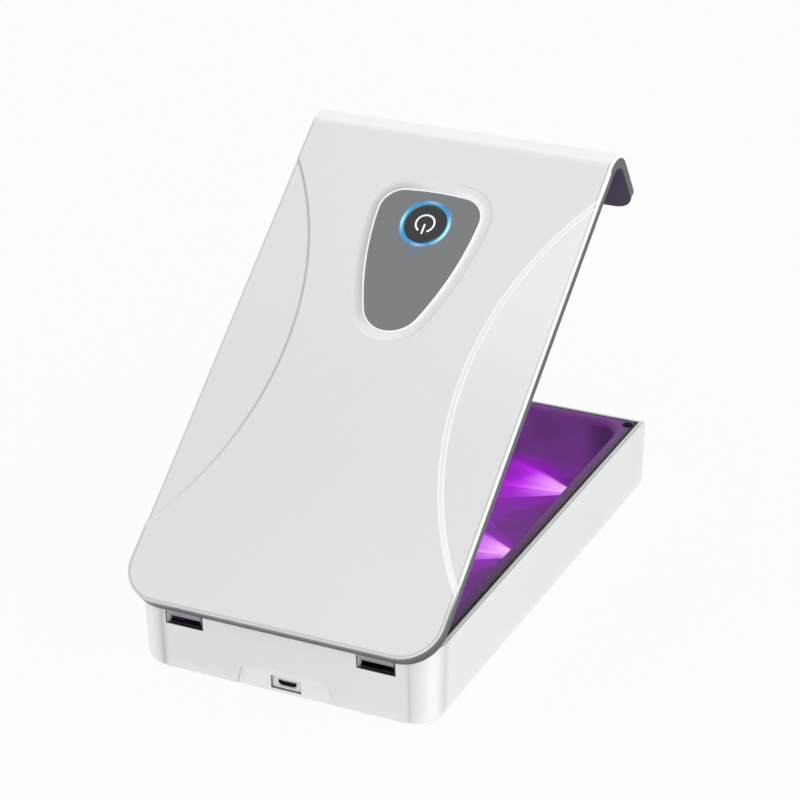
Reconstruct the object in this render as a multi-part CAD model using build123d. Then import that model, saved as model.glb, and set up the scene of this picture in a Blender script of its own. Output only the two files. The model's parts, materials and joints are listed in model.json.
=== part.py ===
from build123d import *
from math import cos, hypot, radians, sin, tan
import os

# UV box for phones.  Millimetres, +Z up, the box stands on z = 0, front (lip side) at -Y.
# Every lid piece is drawn with the lid shut and then swung open to the rest pose.

# ---- base shell -------------------------------------------------------------------------
BASE_WIDTH = 115.0          # outside, at the top of the wall
BASE_LENGTH = 200.0
WALL_TOP = 31.0
WALL_DRAFT = 2.0            # degrees, the walls lean outwards going up
WALL = 3.0
FRONT_WALL = 2.4
REAR_CORNER = 12.0          # plan radius of the rear corners at the top
FRONT_CORNER = 2.6
FLOOR = 2.0
BOTTOM_ROUND = 3.0
RIM_STEP_WIDTH = 0.6        # rebate along the outer top edge
RIM_STEP_DEPTH = 0.5
RIM_WIDTH = 1.3             # white rim left outside the tray
NOSE_WIDTH = 5.6            # round bar along the front, outside the tray
NOSE_RADIUS = 6.5
NOSE_HEIGHT = 8.0
NOSE_LEDGE = 2.0            # carries the front edge of the tray

# ---- feet and the screws behind them ----------------------------------------------------
FOOT_HEIGHT = 1.2           # below the shell
FOOT_SEAT = 0.4             # sunk into the shell
FOOT_RADIUS = 5.0
FOOT_EDGE = 0.5             # bevel round the bottom
FOOT_FROM_SIDE = 15.5
FOOT_FROM_END = 16.0
SCREW_HEAD_RADIUS = 2.3
SCREW_HEAD = 1.5
SCREW_SHANK_RADIUS = 1.25
DRIVE_WIDTH = 2.8           # cross recess in the screw heads
DRIVE_SLOT = 0.6
DRIVE_DEPTH = 0.6
BOSS_RADIUS = 4.2
BOSS_TOP = 7.0
TRAY_BOSS_RADIUS = 3.5
SCREW_LENGTH = 9.0          # below the head

# ---- tray -------------------------------------------------------------------------------
DECK_DROP = 0.4             # the rim of the tray lies this far below the wall top
DECK = 1.6
TRAY_WALL = 1.6
SIDE_RIM = 7.5              # from the outer side of the box to the chamber
FRONT_RIM = 10.2
REAR_RIM = 29.0             # the workings lie below it
CHAMBER_DEPTH = 21.0
CHAMBER_CORNER = 9.0
CHAMBER_DRAFT = 3.0
CHAMBER_BOTTOM_ROUND = 4.0
RIM_ROUND = 2.9             # the soft inner edge of the rim
BUMPER_FROM_SIDE = 4.6
BUMPER_FROM_FRONT = 9.5
BUMPER_RADIUS = 2.0
BUMPER_SEAT = 1.0
BUMPER_RISE = 0.3
BUMPER_EDGE = 0.25
HOOK = 1.2                  # tongues that hold the front of the tray
HOOK_WIDTH = 8.0
HOOK_FROM_FRONT = 22.0
HOOK_DROP = 10.0            # below the deck
BARB = 0.6
BARB_HEIGHT = 1.8
CATCH = 0.8                 # ledge on the shell that a barb grips under

# ---- lamps ------------------------------------------------------------------------------
LAMP_COUNT = 3              # on each side
LAMP_FROM_FRONT = 49.0      # of the front lamps
LAMP_FROM_REAR = 41.0       # of the rear lamps
LAMP_DROP = 10.5            # below the rim of the tray
WINDOW_RADIUS = 3.0
WINDOW = 1.25               # thickness
WINDOW_SET_BACK = 0.2       # behind the wall of the chamber
LED_SIZE = 3.5
LED_DEPTH = 1.1
LED_BOARD = 1.0
LED_BOARD_END = 9.0         # past the outer lamps
LED_BOARD_HEIGHT = 8.0
BOARD_RIB = 2.0             # ribs that the lamp boards lean on
RIB_FROM_END = 4.0

# ---- hinge ------------------------------------------------------------------------------
PIVOT_FROM_REAR = 4.5
PIVOT_DROP = 5.0            # below the wall top
REST_ANGLE = 37.8
SLOT_FROM_SIDE = 14.1
SLOT_WIDTH = 13.6
SLOT_ROOM = 1.3             # under the arm
PIN_RADIUS = 1.5
ARM_WALL = 2.7              # round the pin
LUG_WALL = 2.1
LUG_WIDTH = 3.2
LUG_GAP = 0.5

# ---- power socket -----------------------------------------------------------------------
PORT_X = -1.0
PORT_Z = 4.8                # centre of the socket mouth
BAY_X = -1.8
BAY_TOP = 11.0              # shallow bay around the socket, open at the bottom edge
BAY_TOP_HALF = 16.8
BAY_BOTTOM_HALF = 19.6
BAY_DEPTH = 2.8
BAY_CORNER = 3.5
BAY_BACKING = 2.2
POCKET_WIDTH = 11.6
POCKET_HEIGHT = 5.0
POCKET_DEPTH = 1.2
POCKET_RISE = 2.8           # top of the pocket above the centre of the socket
SOCKET_WIDTH = 7.5
SOCKET_HEIGHT = 2.6
SOCKET_LENGTH = 5.2
SOCKET_SHEET = 0.3
SOCKET_CUT = 0.9            # cut-back lower corners
TONGUE_WIDTH = 5.2
TONGUE_HEIGHT = 0.7
TONGUE_SET_BACK = 0.9       # behind the mouth
TONGUE_ROOT = 1.0

# ---- circuit boards ---------------------------------------------------------------------
BOARD_WIDTH = 54.0
BOARD_LENGTH = 20.0
BOARD = 1.2
BOARD_SET_BACK = 0.8        # behind the backing of the bay
BOARD_INSET = 3.2           # from the board edges to its screws
STANDOFF_RADIUS = 2.2
BOARD_SCREW_RADIUS = 0.9
BOARD_SCREW_HEAD_RADIUS = 1.8
BOARD_SCREW_HEAD = 1.2
CHIP_SIZE = 7.0
CHIP_HEIGHT = 1.0
CHIP_X = -8.5               # from the socket
CHIP_SET_BACK = 9.5         # from the rear edge of the board
COIL_SIZE = 7.0
COIL_HEIGHT = 3.0
COIL_CORNER = 1.2
COIL_X = 7.5
COIL_SET_BACK = 10.5
HEADER_X = 12.0             # plugs of the lamp leads, either side of the socket
HEADER_WIDTH = 6.0
HEADER_LENGTH = 4.0
HEADER_HEIGHT = 3.4
HEADER_INSET = 0.5          # from the front edge of the board
LEAD_WIDTH = 1.6            # flat two-core lead
LEAD = 0.8
LEAD_RISE = 2.0             # above the board where it leaves the plug
LEAD_BEND = 6.0
LEAD_UPTURN = 4.4

# ---- lid --------------------------------------------------------------------------------
LID_OVERHANG = 1.9          # past each side of the box
REAR_OVERHANG = 0.5
LID_CORNER = 14.0
LID_THICKNESS = 6.0
SKIN = 1.5
SKIN_EDGE = 2.4             # deeper border of the skin
SKIN_EDGE_WIDTH = 1.2
LINER_INSET = 0.3           # the liner stands back from the skin at the edges
BEND_RADIUS = 12.0
LIP_BOTTOM = 1.6
LIP_CORNER = 8.0
LIP_THICKNESS = 4.7
LIP_DRAFT = 5.0             # degrees, the lip leans outwards going up
LIP_GAP = 3.6               # between the shut lip and the top of the box
LINER_PANEL = 1.4
LINER_RIM = 3.0
LINER_REAR_RIM = 11.2
LINER_LIP_WALL = 1.4
CURL_ROUND = 6.5
SKIN_EDGE_ROUND = 0.5
GROOVE_RIM = 1.2            # left outside the relief round the hinge line
SNAP_WIDTH = 8.0
SNAP = 1.2
SNAP_DEPTH = 2.4
SNAP_FROM_FRONT = 28.3
SNAP_PITCH = 50.0
SNAP_COUNT = 4

# ---- styling of the lid skin ------------------------------------------------------------
FLANK_DEPTH = 0.5
FLANK_SLOPE = 1.4           # width of the slope between the middle field and a flank
FLANK_RADIUS = 131.0
FLANK_REACH = 25.8          # greatest width, from the side of the lid
FLANK_Y = -3.5

# ---- control plate ----------------------------------------------------------------------
PLATE_HALF_WIDTH = 20.0
PLATE_FRONT_REACH = 13.4    # from the centre of the button
PLATE_FRONT_BOW = 118.5     # radii of the bowed front and sides
PLATE_SIDE_BOW = 118.0
PLATE_SIDE_REACH = 8.3      # from the button to the widest place
PLATE_CORNER = 9.0
PLATE_TIP = 11.5
PLATE = 1.0
DISH_DEPTH = 0.6
DISH_WIDTH = 3.4
BEZEL = 0.7
PAD = 0.8                   # skin left under the plate
PAD_RIM = 2.5

# ---- button -----------------------------------------------------------------------------
BUTTON_FROM_FRONT = 46.8    # of the lid
BUTTON_X = 0.8              # plate and button stand a little off the middle
BUTTON_RADIUS = 7.8
BUTTON_PROUD = 0.2
BUTTON_TRAVEL = 0.4
CAP = 1.1
FLANGE = 0.5
FLANGE_RADIUS = 8.5
STEM_RADIUS = 2.2
RING_INNER = 8.05
RING_OUTER = 9.4
RING_HEIGHT = 2.5
SYMBOL_RADIUS = 3.5
SYMBOL_STROKE = 0.7
SYMBOL_GAP = 56.0           # degrees left open for the bar
SYMBOL_DEPTH = 0.25
BAR_LENGTH = 4.3
BAR_MIDDLE = 2.3            # from the centre of the symbol
SWITCH_SIZE = 5.2
SWITCH_HEIGHT = 1.1
SWITCH_FLOOR = 0.3
PLUNGER_RADIUS = 1.0
BUTTON_BOARD = 0.8
BUTTON_BOARD_WIDTH = 30.0
BUTTON_BOARD_LENGTH = 34.0
RING_LED_COUNT = 6
RING_LED_WIDTH = 1.2
RING_LED_LENGTH = 1.6
RING_LED_HEIGHT = 0.6

# ---- row frame --------------------------------------------------------------------------
FRAME_SHIFT = -3.05         # along Y, puts the origin under the middle of the opened box

# ---- clearances -------------------------------------------------------------------------
GAP = 0.3                   # between pieces of different bodies
SEAT_GAP = 0.2              # between the shut lid and the wall top
FIT = 0.05                  # radial play of a shaft or an inserted piece
TRAY_GAP = 0.25
FLANGE_REST = 0.1           # above the flange of the button, under the light ring
PAST = 1.0                  # how far a cut runs past the face that it opens

# ---- values that follow from the above --------------------------------------------------
HALF_WIDTH = BASE_WIDTH / 2
HALF_LENGTH = BASE_LENGTH / 2
SHELL_BOTTOM = FOOT_HEIGHT
FLOOR_TOP = SHELL_BOTTOM + FLOOR
FOOT_X = HALF_WIDTH - FOOT_FROM_SIDE
FOOT_Y = HALF_LENGTH - FOOT_FROM_END
DECK_TOP = WALL_TOP - DECK_DROP
DECK_BOTTOM = DECK_TOP - DECK
CHAMBER_HALF_WIDTH = HALF_WIDTH - SIDE_RIM
CHAMBER_FRONT = FRONT_RIM - HALF_LENGTH
CHAMBER_REAR = HALF_LENGTH - REAR_RIM
CHAMBER_FLOOR = DECK_TOP - CHAMBER_DEPTH
BUMPER_X = HALF_WIDTH - BUMPER_FROM_SIDE
BUMPER_Y = BUMPER_FROM_FRONT - HALF_LENGTH
HOOK_Y = HOOK_FROM_FRONT - HALF_LENGTH
LAMP_Z = DECK_TOP - LAMP_DROP
LAMP_FRONT = LAMP_FROM_FRONT - HALF_LENGTH
LAMP_REAR = HALF_LENGTH - LAMP_FROM_REAR
LAMP_PITCH = (LAMP_REAR - LAMP_FRONT) / (LAMP_COUNT - 1)
PIVOT_Y = HALF_LENGTH - PIVOT_FROM_REAR
PIVOT_Z = WALL_TOP - PIVOT_DROP
ARM_RADIUS = PIN_RADIUS + ARM_WALL
LUG_RADIUS = PIN_RADIUS + LUG_WALL
SLOT_OUTER = HALF_WIDTH - SLOT_FROM_SIDE
SLOT_INNER = SLOT_OUTER - SLOT_WIDTH
SLOT_BOTTOM = PIVOT_Z - ARM_RADIUS - SLOT_ROOM
LINER_BOTTOM = WALL_TOP + SEAT_GAP
LID_TOP = LINER_BOTTOM + LID_THICKNESS
LID_WIDTH = BASE_WIDTH + 2 * LID_OVERHANG
LID_REAR = HALF_LENGTH + REAR_OVERHANG
LID_FRONT = -HALF_LENGTH - LIP_GAP - LIP_THICKNESS
GROOVE_RADIUS = hypot(PIVOT_FROM_REAR, PIVOT_DROP - RIM_STEP_DEPTH) + GAP
BUTTON_Y = LID_FRONT + BUTTON_FROM_FRONT
SKIN_BOTTOM = LID_TOP - SKIN
LIP_INNER = LID_FRONT + LIP_THICKNESS
PANEL_TOP = LINER_BOTTOM + LINER_PANEL
PLATE_TOP = LID_TOP - DISH_DEPTH
PLATE_BOTTOM = PLATE_TOP - PLATE
BUTTON_TOP = PLATE_TOP + BUTTON_PROUD
CAP_BOTTOM = BUTTON_TOP - CAP
BUTTON_BOARD_TOP = PANEL_TOP + BUTTON_BOARD
SWITCH_TOP = BUTTON_BOARD_TOP + SWITCH_HEIGHT
PLUNGER_TOP = SWITCH_TOP + BUTTON_TRAVEL
BOARD_BOTTOM = PORT_Z + SOCKET_HEIGHT / 2
BOARD_TOP = BOARD_BOTTOM + BOARD
BAY_FACE = HALF_LENGTH - BAY_DEPTH
BOARD_REAR = BAY_FACE - BAY_BACKING - BOARD_SET_BACK
BOARD_FRONT = BOARD_REAR - BOARD_LENGTH
HEADER_Y = BOARD_FRONT + HEADER_INSET + HEADER_LENGTH / 2
SOCKET_FRONT = BAY_FACE - POCKET_DEPTH
TRAY_BOTTOM = CHAMBER_FLOOR - TRAY_WALL
SIDES = (-1, 1)
HINGE_LINE = Axis((0, PIVOT_Y, PIVOT_Z), (-1, 0, 0))


def span(x0, x1, y0, y1, z0, z1):
    """Box between two values on each axis."""
    size = Box(abs(x1 - x0), abs(y1 - y0), abs(z1 - z0))
    return Pos((x0 + x1) / 2, (y0 + y1) / 2, (z0 + z1) / 2) * size


def upright(x, y, z0, z1, radius):
    """Round bar standing between two heights."""
    return Pos(x, y, (z0 + z1) / 2) * Cylinder(radius, z1 - z0)


def crossbar(x0, x1, y, z, radius):
    """Round bar lying along X."""
    return Pos((x0 + x1) / 2, y, z) * Rot(0, 90, 0) * Cylinder(radius, abs(x1 - x0))


def plan(half_width, front, rear, rear_radius, front_radius=0):
    """Outline seen from above with its own corner radius at each end."""
    sheet = Pos(0, (front + rear) / 2) * Rectangle(2 * half_width, rear - front)
    sheet = fillet(sheet.vertices().group_by(Axis.Y)[-1], rear_radius)
    if front_radius == 0:
        return sheet
    return fillet(sheet.vertices().group_by(Axis.Y)[0], front_radius)


def drafted(half_width, front, rear, rear_radius, front_radius, top, bottom, rise, draft):
    """Solid whose outline is given at the height `top` and shrinks towards `bottom`."""
    shrink = (top - bottom) * tan(radians(draft))
    outline = plan(half_width - shrink, front + shrink, rear - shrink,
                   rear_radius - shrink, front_radius - shrink)
    return extrude(Pos(0, 0, bottom) * outline, amount=rise - bottom, taper=-draft)


def swing_open(piece):
    """Turn a piece of the shut lid to the rest pose."""
    return piece.rotate(HINGE_LINE, REST_ANGLE)


# ---- base body --------------------------------------------------------------------------
def hinge_lugs():
    """Two ears beside each slot that carry the pins."""
    ears = []
    for side in SIDES:
        for start, direction in ((SLOT_INNER, -1), (SLOT_OUTER, 1)):
            near = start + direction * (LUG_GAP - GAP)
            far = near + direction * LUG_WIDTH
            ear = crossbar(side * near, side * far, PIVOT_Y, PIVOT_Z, LUG_RADIUS)
            ear += span(side * near, side * far, PIVOT_Y, HALF_LENGTH - WALL / 2,
                        PIVOT_Z - LUG_RADIUS, PIVOT_Z + LUG_RADIUS)
            ears.append(ear)
    return ears


def port_bay():
    """Flared bay in the rear wall, open at the bottom edge."""
    with BuildSketch(Plane.XZ.offset(-BAY_FACE)) as face:
        Polygon((BAY_X - BAY_BOTTOM_HALF, 0), (BAY_X + BAY_BOTTOM_HALF, 0),
                (BAY_X + BAY_TOP_HALF, BAY_TOP), (BAY_X - BAY_TOP_HALF, BAY_TOP), align=None)
        fillet(face.vertices().group_by(Axis.Y)[-1], BAY_CORNER)
    return extrude(face.sketch, amount=-BAY_DEPTH - PAST)


def port_opening():
    """Pocket with the mouth of the socket in its back."""
    top = PORT_Z + POCKET_RISE
    pocket = span(PORT_X - POCKET_WIDTH / 2, PORT_X + POCKET_WIDTH / 2, SOCKET_FRONT,
                  HALF_LENGTH, top - POCKET_HEIGHT, top)
    mouth = socket_outline(SOCKET_WIDTH + 2 * FIT, SOCKET_HEIGHT + 2 * FIT, SOCKET_FRONT + PAST)
    return pocket + extrude(mouth, amount=BAY_BACKING + 2 * PAST)


def nose_cut():
    """What the rounding takes off the upper front edge of the box."""
    half = HALF_WIDTH + PAST
    y = NOSE_RADIUS - HALF_LENGTH
    z = WALL_TOP - NOSE_RADIUS
    corner = span(-half, half, -HALF_LENGTH - PAST, y, z, WALL_TOP + PAST)
    return corner - crossbar(-half - PAST, half + PAST, y, z, NOSE_RADIUS)


def base_shell():
    half = HALF_WIDTH
    end = HALF_LENGTH
    shell = drafted(half, -end, end, REAR_CORNER, FRONT_CORNER, WALL_TOP, SHELL_BOTTOM,
                    WALL_TOP, WALL_DRAFT)
    shell = fillet(shell.faces().sort_by(Axis.Z)[0].edges(), BOTTOM_ROUND)
    room = drafted(half - WALL, -end + FRONT_WALL, end - WALL, REAR_CORNER - WALL,
                   FRONT_CORNER, WALL_TOP, FLOOR_TOP, WALL_TOP + PAST, WALL_DRAFT)
    shell -= room
    shell += span(WALL / 2 - half, half - WALL / 2, FRONT_WALL / 2 - end,
                  NOSE_WIDTH + NOSE_LEDGE - end, WALL_TOP - NOSE_HEIGHT, WALL_TOP)
    shell -= nose_cut()
    seat = plan(half - RIM_WIDTH, NOSE_WIDTH - end, end - RIM_WIDTH, REAR_CORNER - RIM_WIDTH)
    shell -= extrude(Pos(0, 0, DECK_BOTTOM) * seat, amount=DECK + DECK_DROP + PAST)
    rim = plan(half + PAST, -end - PAST, end + PAST, REAR_CORNER + PAST, FRONT_CORNER)
    rim -= plan(half - RIM_STEP_WIDTH, -end + RIM_STEP_WIDTH, end - RIM_STEP_WIDTH,
                REAR_CORNER - RIM_STEP_WIDTH, FRONT_CORNER - RIM_STEP_WIDTH)
    shell -= extrude(Pos(0, 0, WALL_TOP - RIM_STEP_DEPTH) * rim, amount=2 * RIM_STEP_DEPTH)
    for side in SIDES:
        shell -= span(side * SLOT_INNER, side * SLOT_OUTER, PIVOT_Y, end + PAST,
                      SLOT_BOTTOM, WALL_TOP + PAST)
    shell += span(BAY_X - BAY_BOTTOM_HALF - PAST, BAY_X + BAY_BOTTOM_HALF + PAST,
                  BAY_FACE - BAY_BACKING, end - WALL / 2 - PAST,
                  FLOOR_TOP - FLOOR / 2, BAY_TOP + FLOOR)
    shell -= port_bay()
    shell -= port_opening()
    shell += hinge_lugs()
    for x in (-FOOT_X, FOOT_X):
        shell += upright(x, FOOT_Y, FLOOR_TOP - FLOOR / 2, BOSS_TOP, BOSS_RADIUS)
        shell -= upright(x, FOOT_Y, 0, screw_seat(), SCREW_HEAD_RADIUS + 4 * FIT)
        shell -= upright(x, FOOT_Y, 0, BOSS_TOP + PAST, SCREW_SHANK_RADIUS + 2 * FIT)
        for y in (-FOOT_Y, FOOT_Y):
            shell -= upright(x, y, 0, SHELL_BOTTOM + FOOT_SEAT, FOOT_RADIUS)
    for side in SIDES:
        ledge = catch_bottom()
        shell += span(side * (catch_face() + WALL / 2 + CATCH), side * catch_face(),
                      HOOK_Y - HOOK_WIDTH / 2, HOOK_Y + HOOK_WIDTH / 2, ledge, ledge + HOOK)
    for x, y in board_screw_places():
        shell += upright(x, y, FLOOR_TOP - FLOOR / 2, BOARD_BOTTOM, STANDOFF_RADIUS)
        shell -= upright(x, y, FLOOR_TOP - FLOOR / 3, BOARD_BOTTOM + PAST, BOARD_SCREW_RADIUS)
    for side in SIDES:
        shell -= hinge_pin(side)
    return shell


def screw_seat():
    """Height of the face that the heads of the base screws pull against."""
    return SHELL_BOTTOM + FOOT_SEAT + GAP + SCREW_HEAD


def catch_bottom():
    """Height of the face of the ledges that the barbs of the tray grip under."""
    return DECK_BOTTOM - HOOK_DROP + BARB_HEIGHT + FIT


def catch_face():
    """Distance from the centre plane to the inner face of those ledges."""
    return HALF_WIDTH - WALL - (WALL_TOP - catch_bottom()) * tan(radians(WALL_DRAFT)) - CATCH


def feet():
    made = {}
    for x, across in ((-FOOT_X, "left"), (FOOT_X, "right")):
        for y, along in ((-FOOT_Y, "front"), (FOOT_Y, "rear")):
            foot = upright(x, y, 0, SHELL_BOTTOM + FOOT_SEAT, FOOT_RADIUS)
            made["foot_" + along + "_" + across] = chamfer(foot.edges().group_by(Axis.Z)[0],
                                                           FOOT_EDGE)
    return made


def cross_recess(x, y, face):
    """Recess for a cross-head driver in a head whose face lies at the height `face`."""
    bar = Box(DRIVE_WIDTH, DRIVE_SLOT, 2 * DRIVE_DEPTH)
    return Pos(x, y, face) * (bar + Rot(0, 0, 90) * bar)


def base_screws():
    """Two screws from below into the rear columns of the tray, behind the rear feet."""
    screws = []
    for x in (-FOOT_X, FOOT_X):
        seat = screw_seat()
        screw = upright(x, FOOT_Y, seat - SCREW_HEAD, seat, SCREW_HEAD_RADIUS)
        screw += upright(x, FOOT_Y, seat, seat + SCREW_LENGTH, SCREW_SHANK_RADIUS)
        screws.append(screw - cross_recess(x, FOOT_Y, seat - SCREW_HEAD))
    return Compound(screws)


def chamber():
    """Hollow that takes the phone."""
    hollow = drafted(CHAMBER_HALF_WIDTH, CHAMBER_FRONT, CHAMBER_REAR, CHAMBER_CORNER,
                     CHAMBER_CORNER, DECK_TOP, CHAMBER_FLOOR, DECK_TOP, CHAMBER_DRAFT)
    return fillet(hollow.faces().sort_by(Axis.Z)[0].edges(), CHAMBER_BOTTOM_ROUND)


def chamber_wall_x(z):
    """Inner face of the side wall of the chamber at a height."""
    return CHAMBER_HALF_WIDTH - (DECK_TOP - z) * tan(radians(CHAMBER_DRAFT))


def lamp_places():
    """Places of the lamps along each side."""
    return [LAMP_FRONT + LAMP_PITCH * step for step in range(LAMP_COUNT)]


def rib_places():
    """Ribs near the ends of a lamp board and midway between its lamps."""
    past = LED_BOARD_END - RIB_FROM_END
    middles = [y + LAMP_PITCH / 2 for y in lamp_places()[:-1]]
    return [LAMP_FRONT - past, LAMP_REAR + past] + middles


def lamp_back():
    """Distance from the centre plane to the face that the lamp board leans on."""
    return chamber_wall_x(LAMP_Z) + WINDOW_SET_BACK + WINDOW + LED_DEPTH


def inner_tray():
    inset = RIM_WIDTH + TRAY_GAP
    deck = plan(HALF_WIDTH - inset, NOSE_WIDTH + TRAY_GAP - HALF_LENGTH, HALF_LENGTH - inset,
                REAR_CORNER - inset)
    tray = extrude(Pos(0, 0, DECK_BOTTOM) * deck, amount=DECK)
    tub = drafted(CHAMBER_HALF_WIDTH + TRAY_WALL, CHAMBER_FRONT - TRAY_WALL,
                  CHAMBER_REAR + TRAY_WALL, CHAMBER_CORNER + TRAY_WALL,
                  CHAMBER_CORNER + TRAY_WALL, DECK_TOP, TRAY_BOTTOM,
                  DECK_BOTTOM + DECK / 2, CHAMBER_DRAFT)
    tub = chamfer(tub.faces().sort_by(Axis.Z)[0].edges(), CHAMBER_BOTTOM_ROUND - TRAY_WALL)
    tray = tray + tub - chamber()
    mouth = tray.faces().sort_by(Axis.Z)[-1].inner_wires()[0]
    tray = fillet(mouth.edges(), RIM_ROUND)
    for side in SIDES:
        near = SLOT_INNER - LUG_GAP - LUG_WIDTH - GAP
        far = SLOT_OUTER + LUG_GAP + LUG_WIDTH + GAP
        tray -= span(side * near, side * far, PIVOT_Y - ARM_RADIUS - 2 * GAP, HALF_LENGTH,
                     0, WALL_TOP)
        tray -= upright(side * BUMPER_X, BUMPER_Y, DECK_TOP - BUMPER_SEAT, DECK_TOP + PAST,
                        BUMPER_RADIUS + FIT)
        tray += upright(side * FOOT_X, FOOT_Y, BOSS_TOP, DECK_BOTTOM + DECK / 2,
                        TRAY_BOSS_RADIUS)
        tray -= upright(side * FOOT_X, FOOT_Y, BOSS_TOP - PAST,
                        screw_seat() + SCREW_LENGTH + GAP, SCREW_SHANK_RADIUS)
        tray += tray_hook(side)
        for y in rib_places():
            tray += span(side * (chamber_wall_x(LAMP_Z) + TRAY_WALL / 2), side * lamp_back(),
                         y - BOARD_RIB / 2, y + BOARD_RIB / 2,
                         LAMP_Z - LED_BOARD_HEIGHT / 2, LAMP_Z + LED_BOARD_HEIGHT / 2)
        for y in lamp_places():
            inner = CHAMBER_HALF_WIDTH - TRAY_WALL - PAST
            tray -= crossbar(side * inner, side * lamp_back(), y, LAMP_Z,
                             WINDOW_RADIUS + FIT)
    return tray


def tray_hook(side):
    """Tongue below the deck whose barb grips under a ledge of the shell."""
    outer = side * (catch_face() - 3 * FIT)
    start = HOOK_Y - HOOK_WIDTH / 2
    bottom = DECK_BOTTOM - HOOK_DROP
    tongue = span(outer, outer - side * HOOK, start, start + HOOK_WIDTH, bottom,
                  DECK_BOTTOM + DECK / 2)
    return tongue + span(outer - side * HOOK, outer + side * BARB, start, start + HOOK_WIDTH,
                         bottom, bottom + BARB_HEIGHT)


def rim_bumper(side):
    bumper = upright(side * BUMPER_X, BUMPER_Y, DECK_TOP - BUMPER_SEAT, DECK_TOP + BUMPER_RISE,
                     BUMPER_RADIUS)
    return chamfer(bumper.edges().group_by(Axis.Z)[-1], BUMPER_EDGE)


def lamp_windows(side):
    """Clear discs in the side wall of the chamber."""
    inner = chamber_wall_x(LAMP_Z) + WINDOW_SET_BACK
    return Compound([crossbar(side * inner, side * (inner + WINDOW), y, LAMP_Z, WINDOW_RADIUS)
                     for y in lamp_places()])


def lamp_leds(side):
    inner = lamp_back() - LED_DEPTH
    return Compound([span(side * inner, side * lamp_back(), y - LED_SIZE / 2, y + LED_SIZE / 2,
                          LAMP_Z - LED_SIZE / 2, LAMP_Z + LED_SIZE / 2)
                     for y in lamp_places()])


def lamp_board(side):
    return span(side * lamp_back(), side * (lamp_back() + LED_BOARD),
                LAMP_FRONT - LED_BOARD_END, LAMP_REAR + LED_BOARD_END,
                LAMP_Z - LED_BOARD_HEIGHT / 2, LAMP_Z + LED_BOARD_HEIGHT / 2)


def hinge_pin(side):
    """Steel pin through both ears and the arm between them."""
    near = SLOT_INNER - LUG_GAP + GAP - LUG_WIDTH
    far = SLOT_OUTER + LUG_GAP - GAP + LUG_WIDTH
    return crossbar(side * near, side * far, PIVOT_Y, PIVOT_Z, PIN_RADIUS)


def board_screw_places():
    return [(PORT_X + x * (BOARD_WIDTH / 2 - BOARD_INSET), y)
            for x in SIDES
            for y in (BOARD_FRONT + BOARD_INSET, BOARD_REAR - BOARD_INSET)]


def main_board():
    board = span(PORT_X - BOARD_WIDTH / 2, PORT_X + BOARD_WIDTH / 2, BOARD_FRONT, BOARD_REAR,
                 BOARD_BOTTOM, BOARD_TOP)
    for x, y in board_screw_places():
        board -= upright(x, y, 0, WALL_TOP, BOARD_SCREW_RADIUS + 2 * FIT)
    return board


def board_screws():
    screws = []
    for x, y in board_screw_places():
        head = BOARD_TOP + BOARD_SCREW_HEAD
        screw = upright(x, y, BOARD_TOP, head, BOARD_SCREW_HEAD_RADIUS)
        screw += upright(x, y, FLOOR_TOP - FLOOR / 3, head, BOARD_SCREW_RADIUS)
        screws.append(screw - cross_recess(x, y, head))
    return Compound(screws)


def main_chip():
    return Pos(PORT_X + CHIP_X, BOARD_REAR - CHIP_SET_BACK, BOARD_TOP + CHIP_HEIGHT / 2) * Box(
        CHIP_SIZE, CHIP_SIZE, CHIP_HEIGHT)


def boost_coil():
    coil = chamfer(Box(COIL_SIZE, COIL_SIZE, COIL_HEIGHT).edges().filter_by(Axis.Z), COIL_CORNER)
    return Pos(PORT_X + COIL_X, BOARD_REAR - COIL_SET_BACK, BOARD_TOP + COIL_HEIGHT / 2) * coil


def lead_headers():
    """Two plugs at the front edge of the main board, one for each lamp board."""
    plug = Box(HEADER_WIDTH, HEADER_LENGTH, HEADER_HEIGHT)
    return Compound([Pos(PORT_X + side * HEADER_X, HEADER_Y, BOARD_TOP + HEADER_HEIGHT / 2) * plug
                     for side in SIDES])


def lamp_lead(side):
    """Flat lead from its plug, behind the chamber and up to the end of the lamp board."""
    start_x = PORT_X + side * (HEADER_X + HEADER_WIDTH / 2)
    z = BOARD_TOP + LEAD_RISE
    end_x = side * (lamp_back() + LED_BOARD / 2)
    end_y = LAMP_REAR + LED_BOARD_END - RIB_FROM_END
    path = FilletPolyline((start_x, HEADER_Y, z), (end_x, HEADER_Y, z), (end_x, end_y, z),
                          (end_x, end_y, LAMP_Z - LED_BOARD_HEIGHT / 2),
                          radius=[LEAD_BEND, LEAD_UPTURN])
    section = Plane(path @ 0, x_dir=(0, 1, 0), z_dir=path % 0) * Rectangle(LEAD, LEAD_WIDTH)
    return sweep(section, path=path)


def socket_outline(width, height, y):
    """Micro-USB outline: flat top, lower corners cut back."""
    w = width / 2
    h = height / 2
    cut = SOCKET_CUT
    with BuildSketch(Plane.XZ.offset(-y)) as face:
        with Locations((PORT_X, PORT_Z)):
            Polygon((-w, h), (w, h), (w, cut - h), (w - cut, -h), (cut - w, -h), (-w, cut - h),
                    align=None)
    return face.sketch


def socket_shell():
    can = extrude(socket_outline(SOCKET_WIDTH, SOCKET_HEIGHT, SOCKET_FRONT), amount=SOCKET_LENGTH)
    room = socket_outline(SOCKET_WIDTH - 2 * SOCKET_SHEET, SOCKET_HEIGHT - 2 * SOCKET_SHEET,
                          SOCKET_FRONT + PAST)
    return can - extrude(room, amount=SOCKET_LENGTH + PAST - SOCKET_SHEET)


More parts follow.
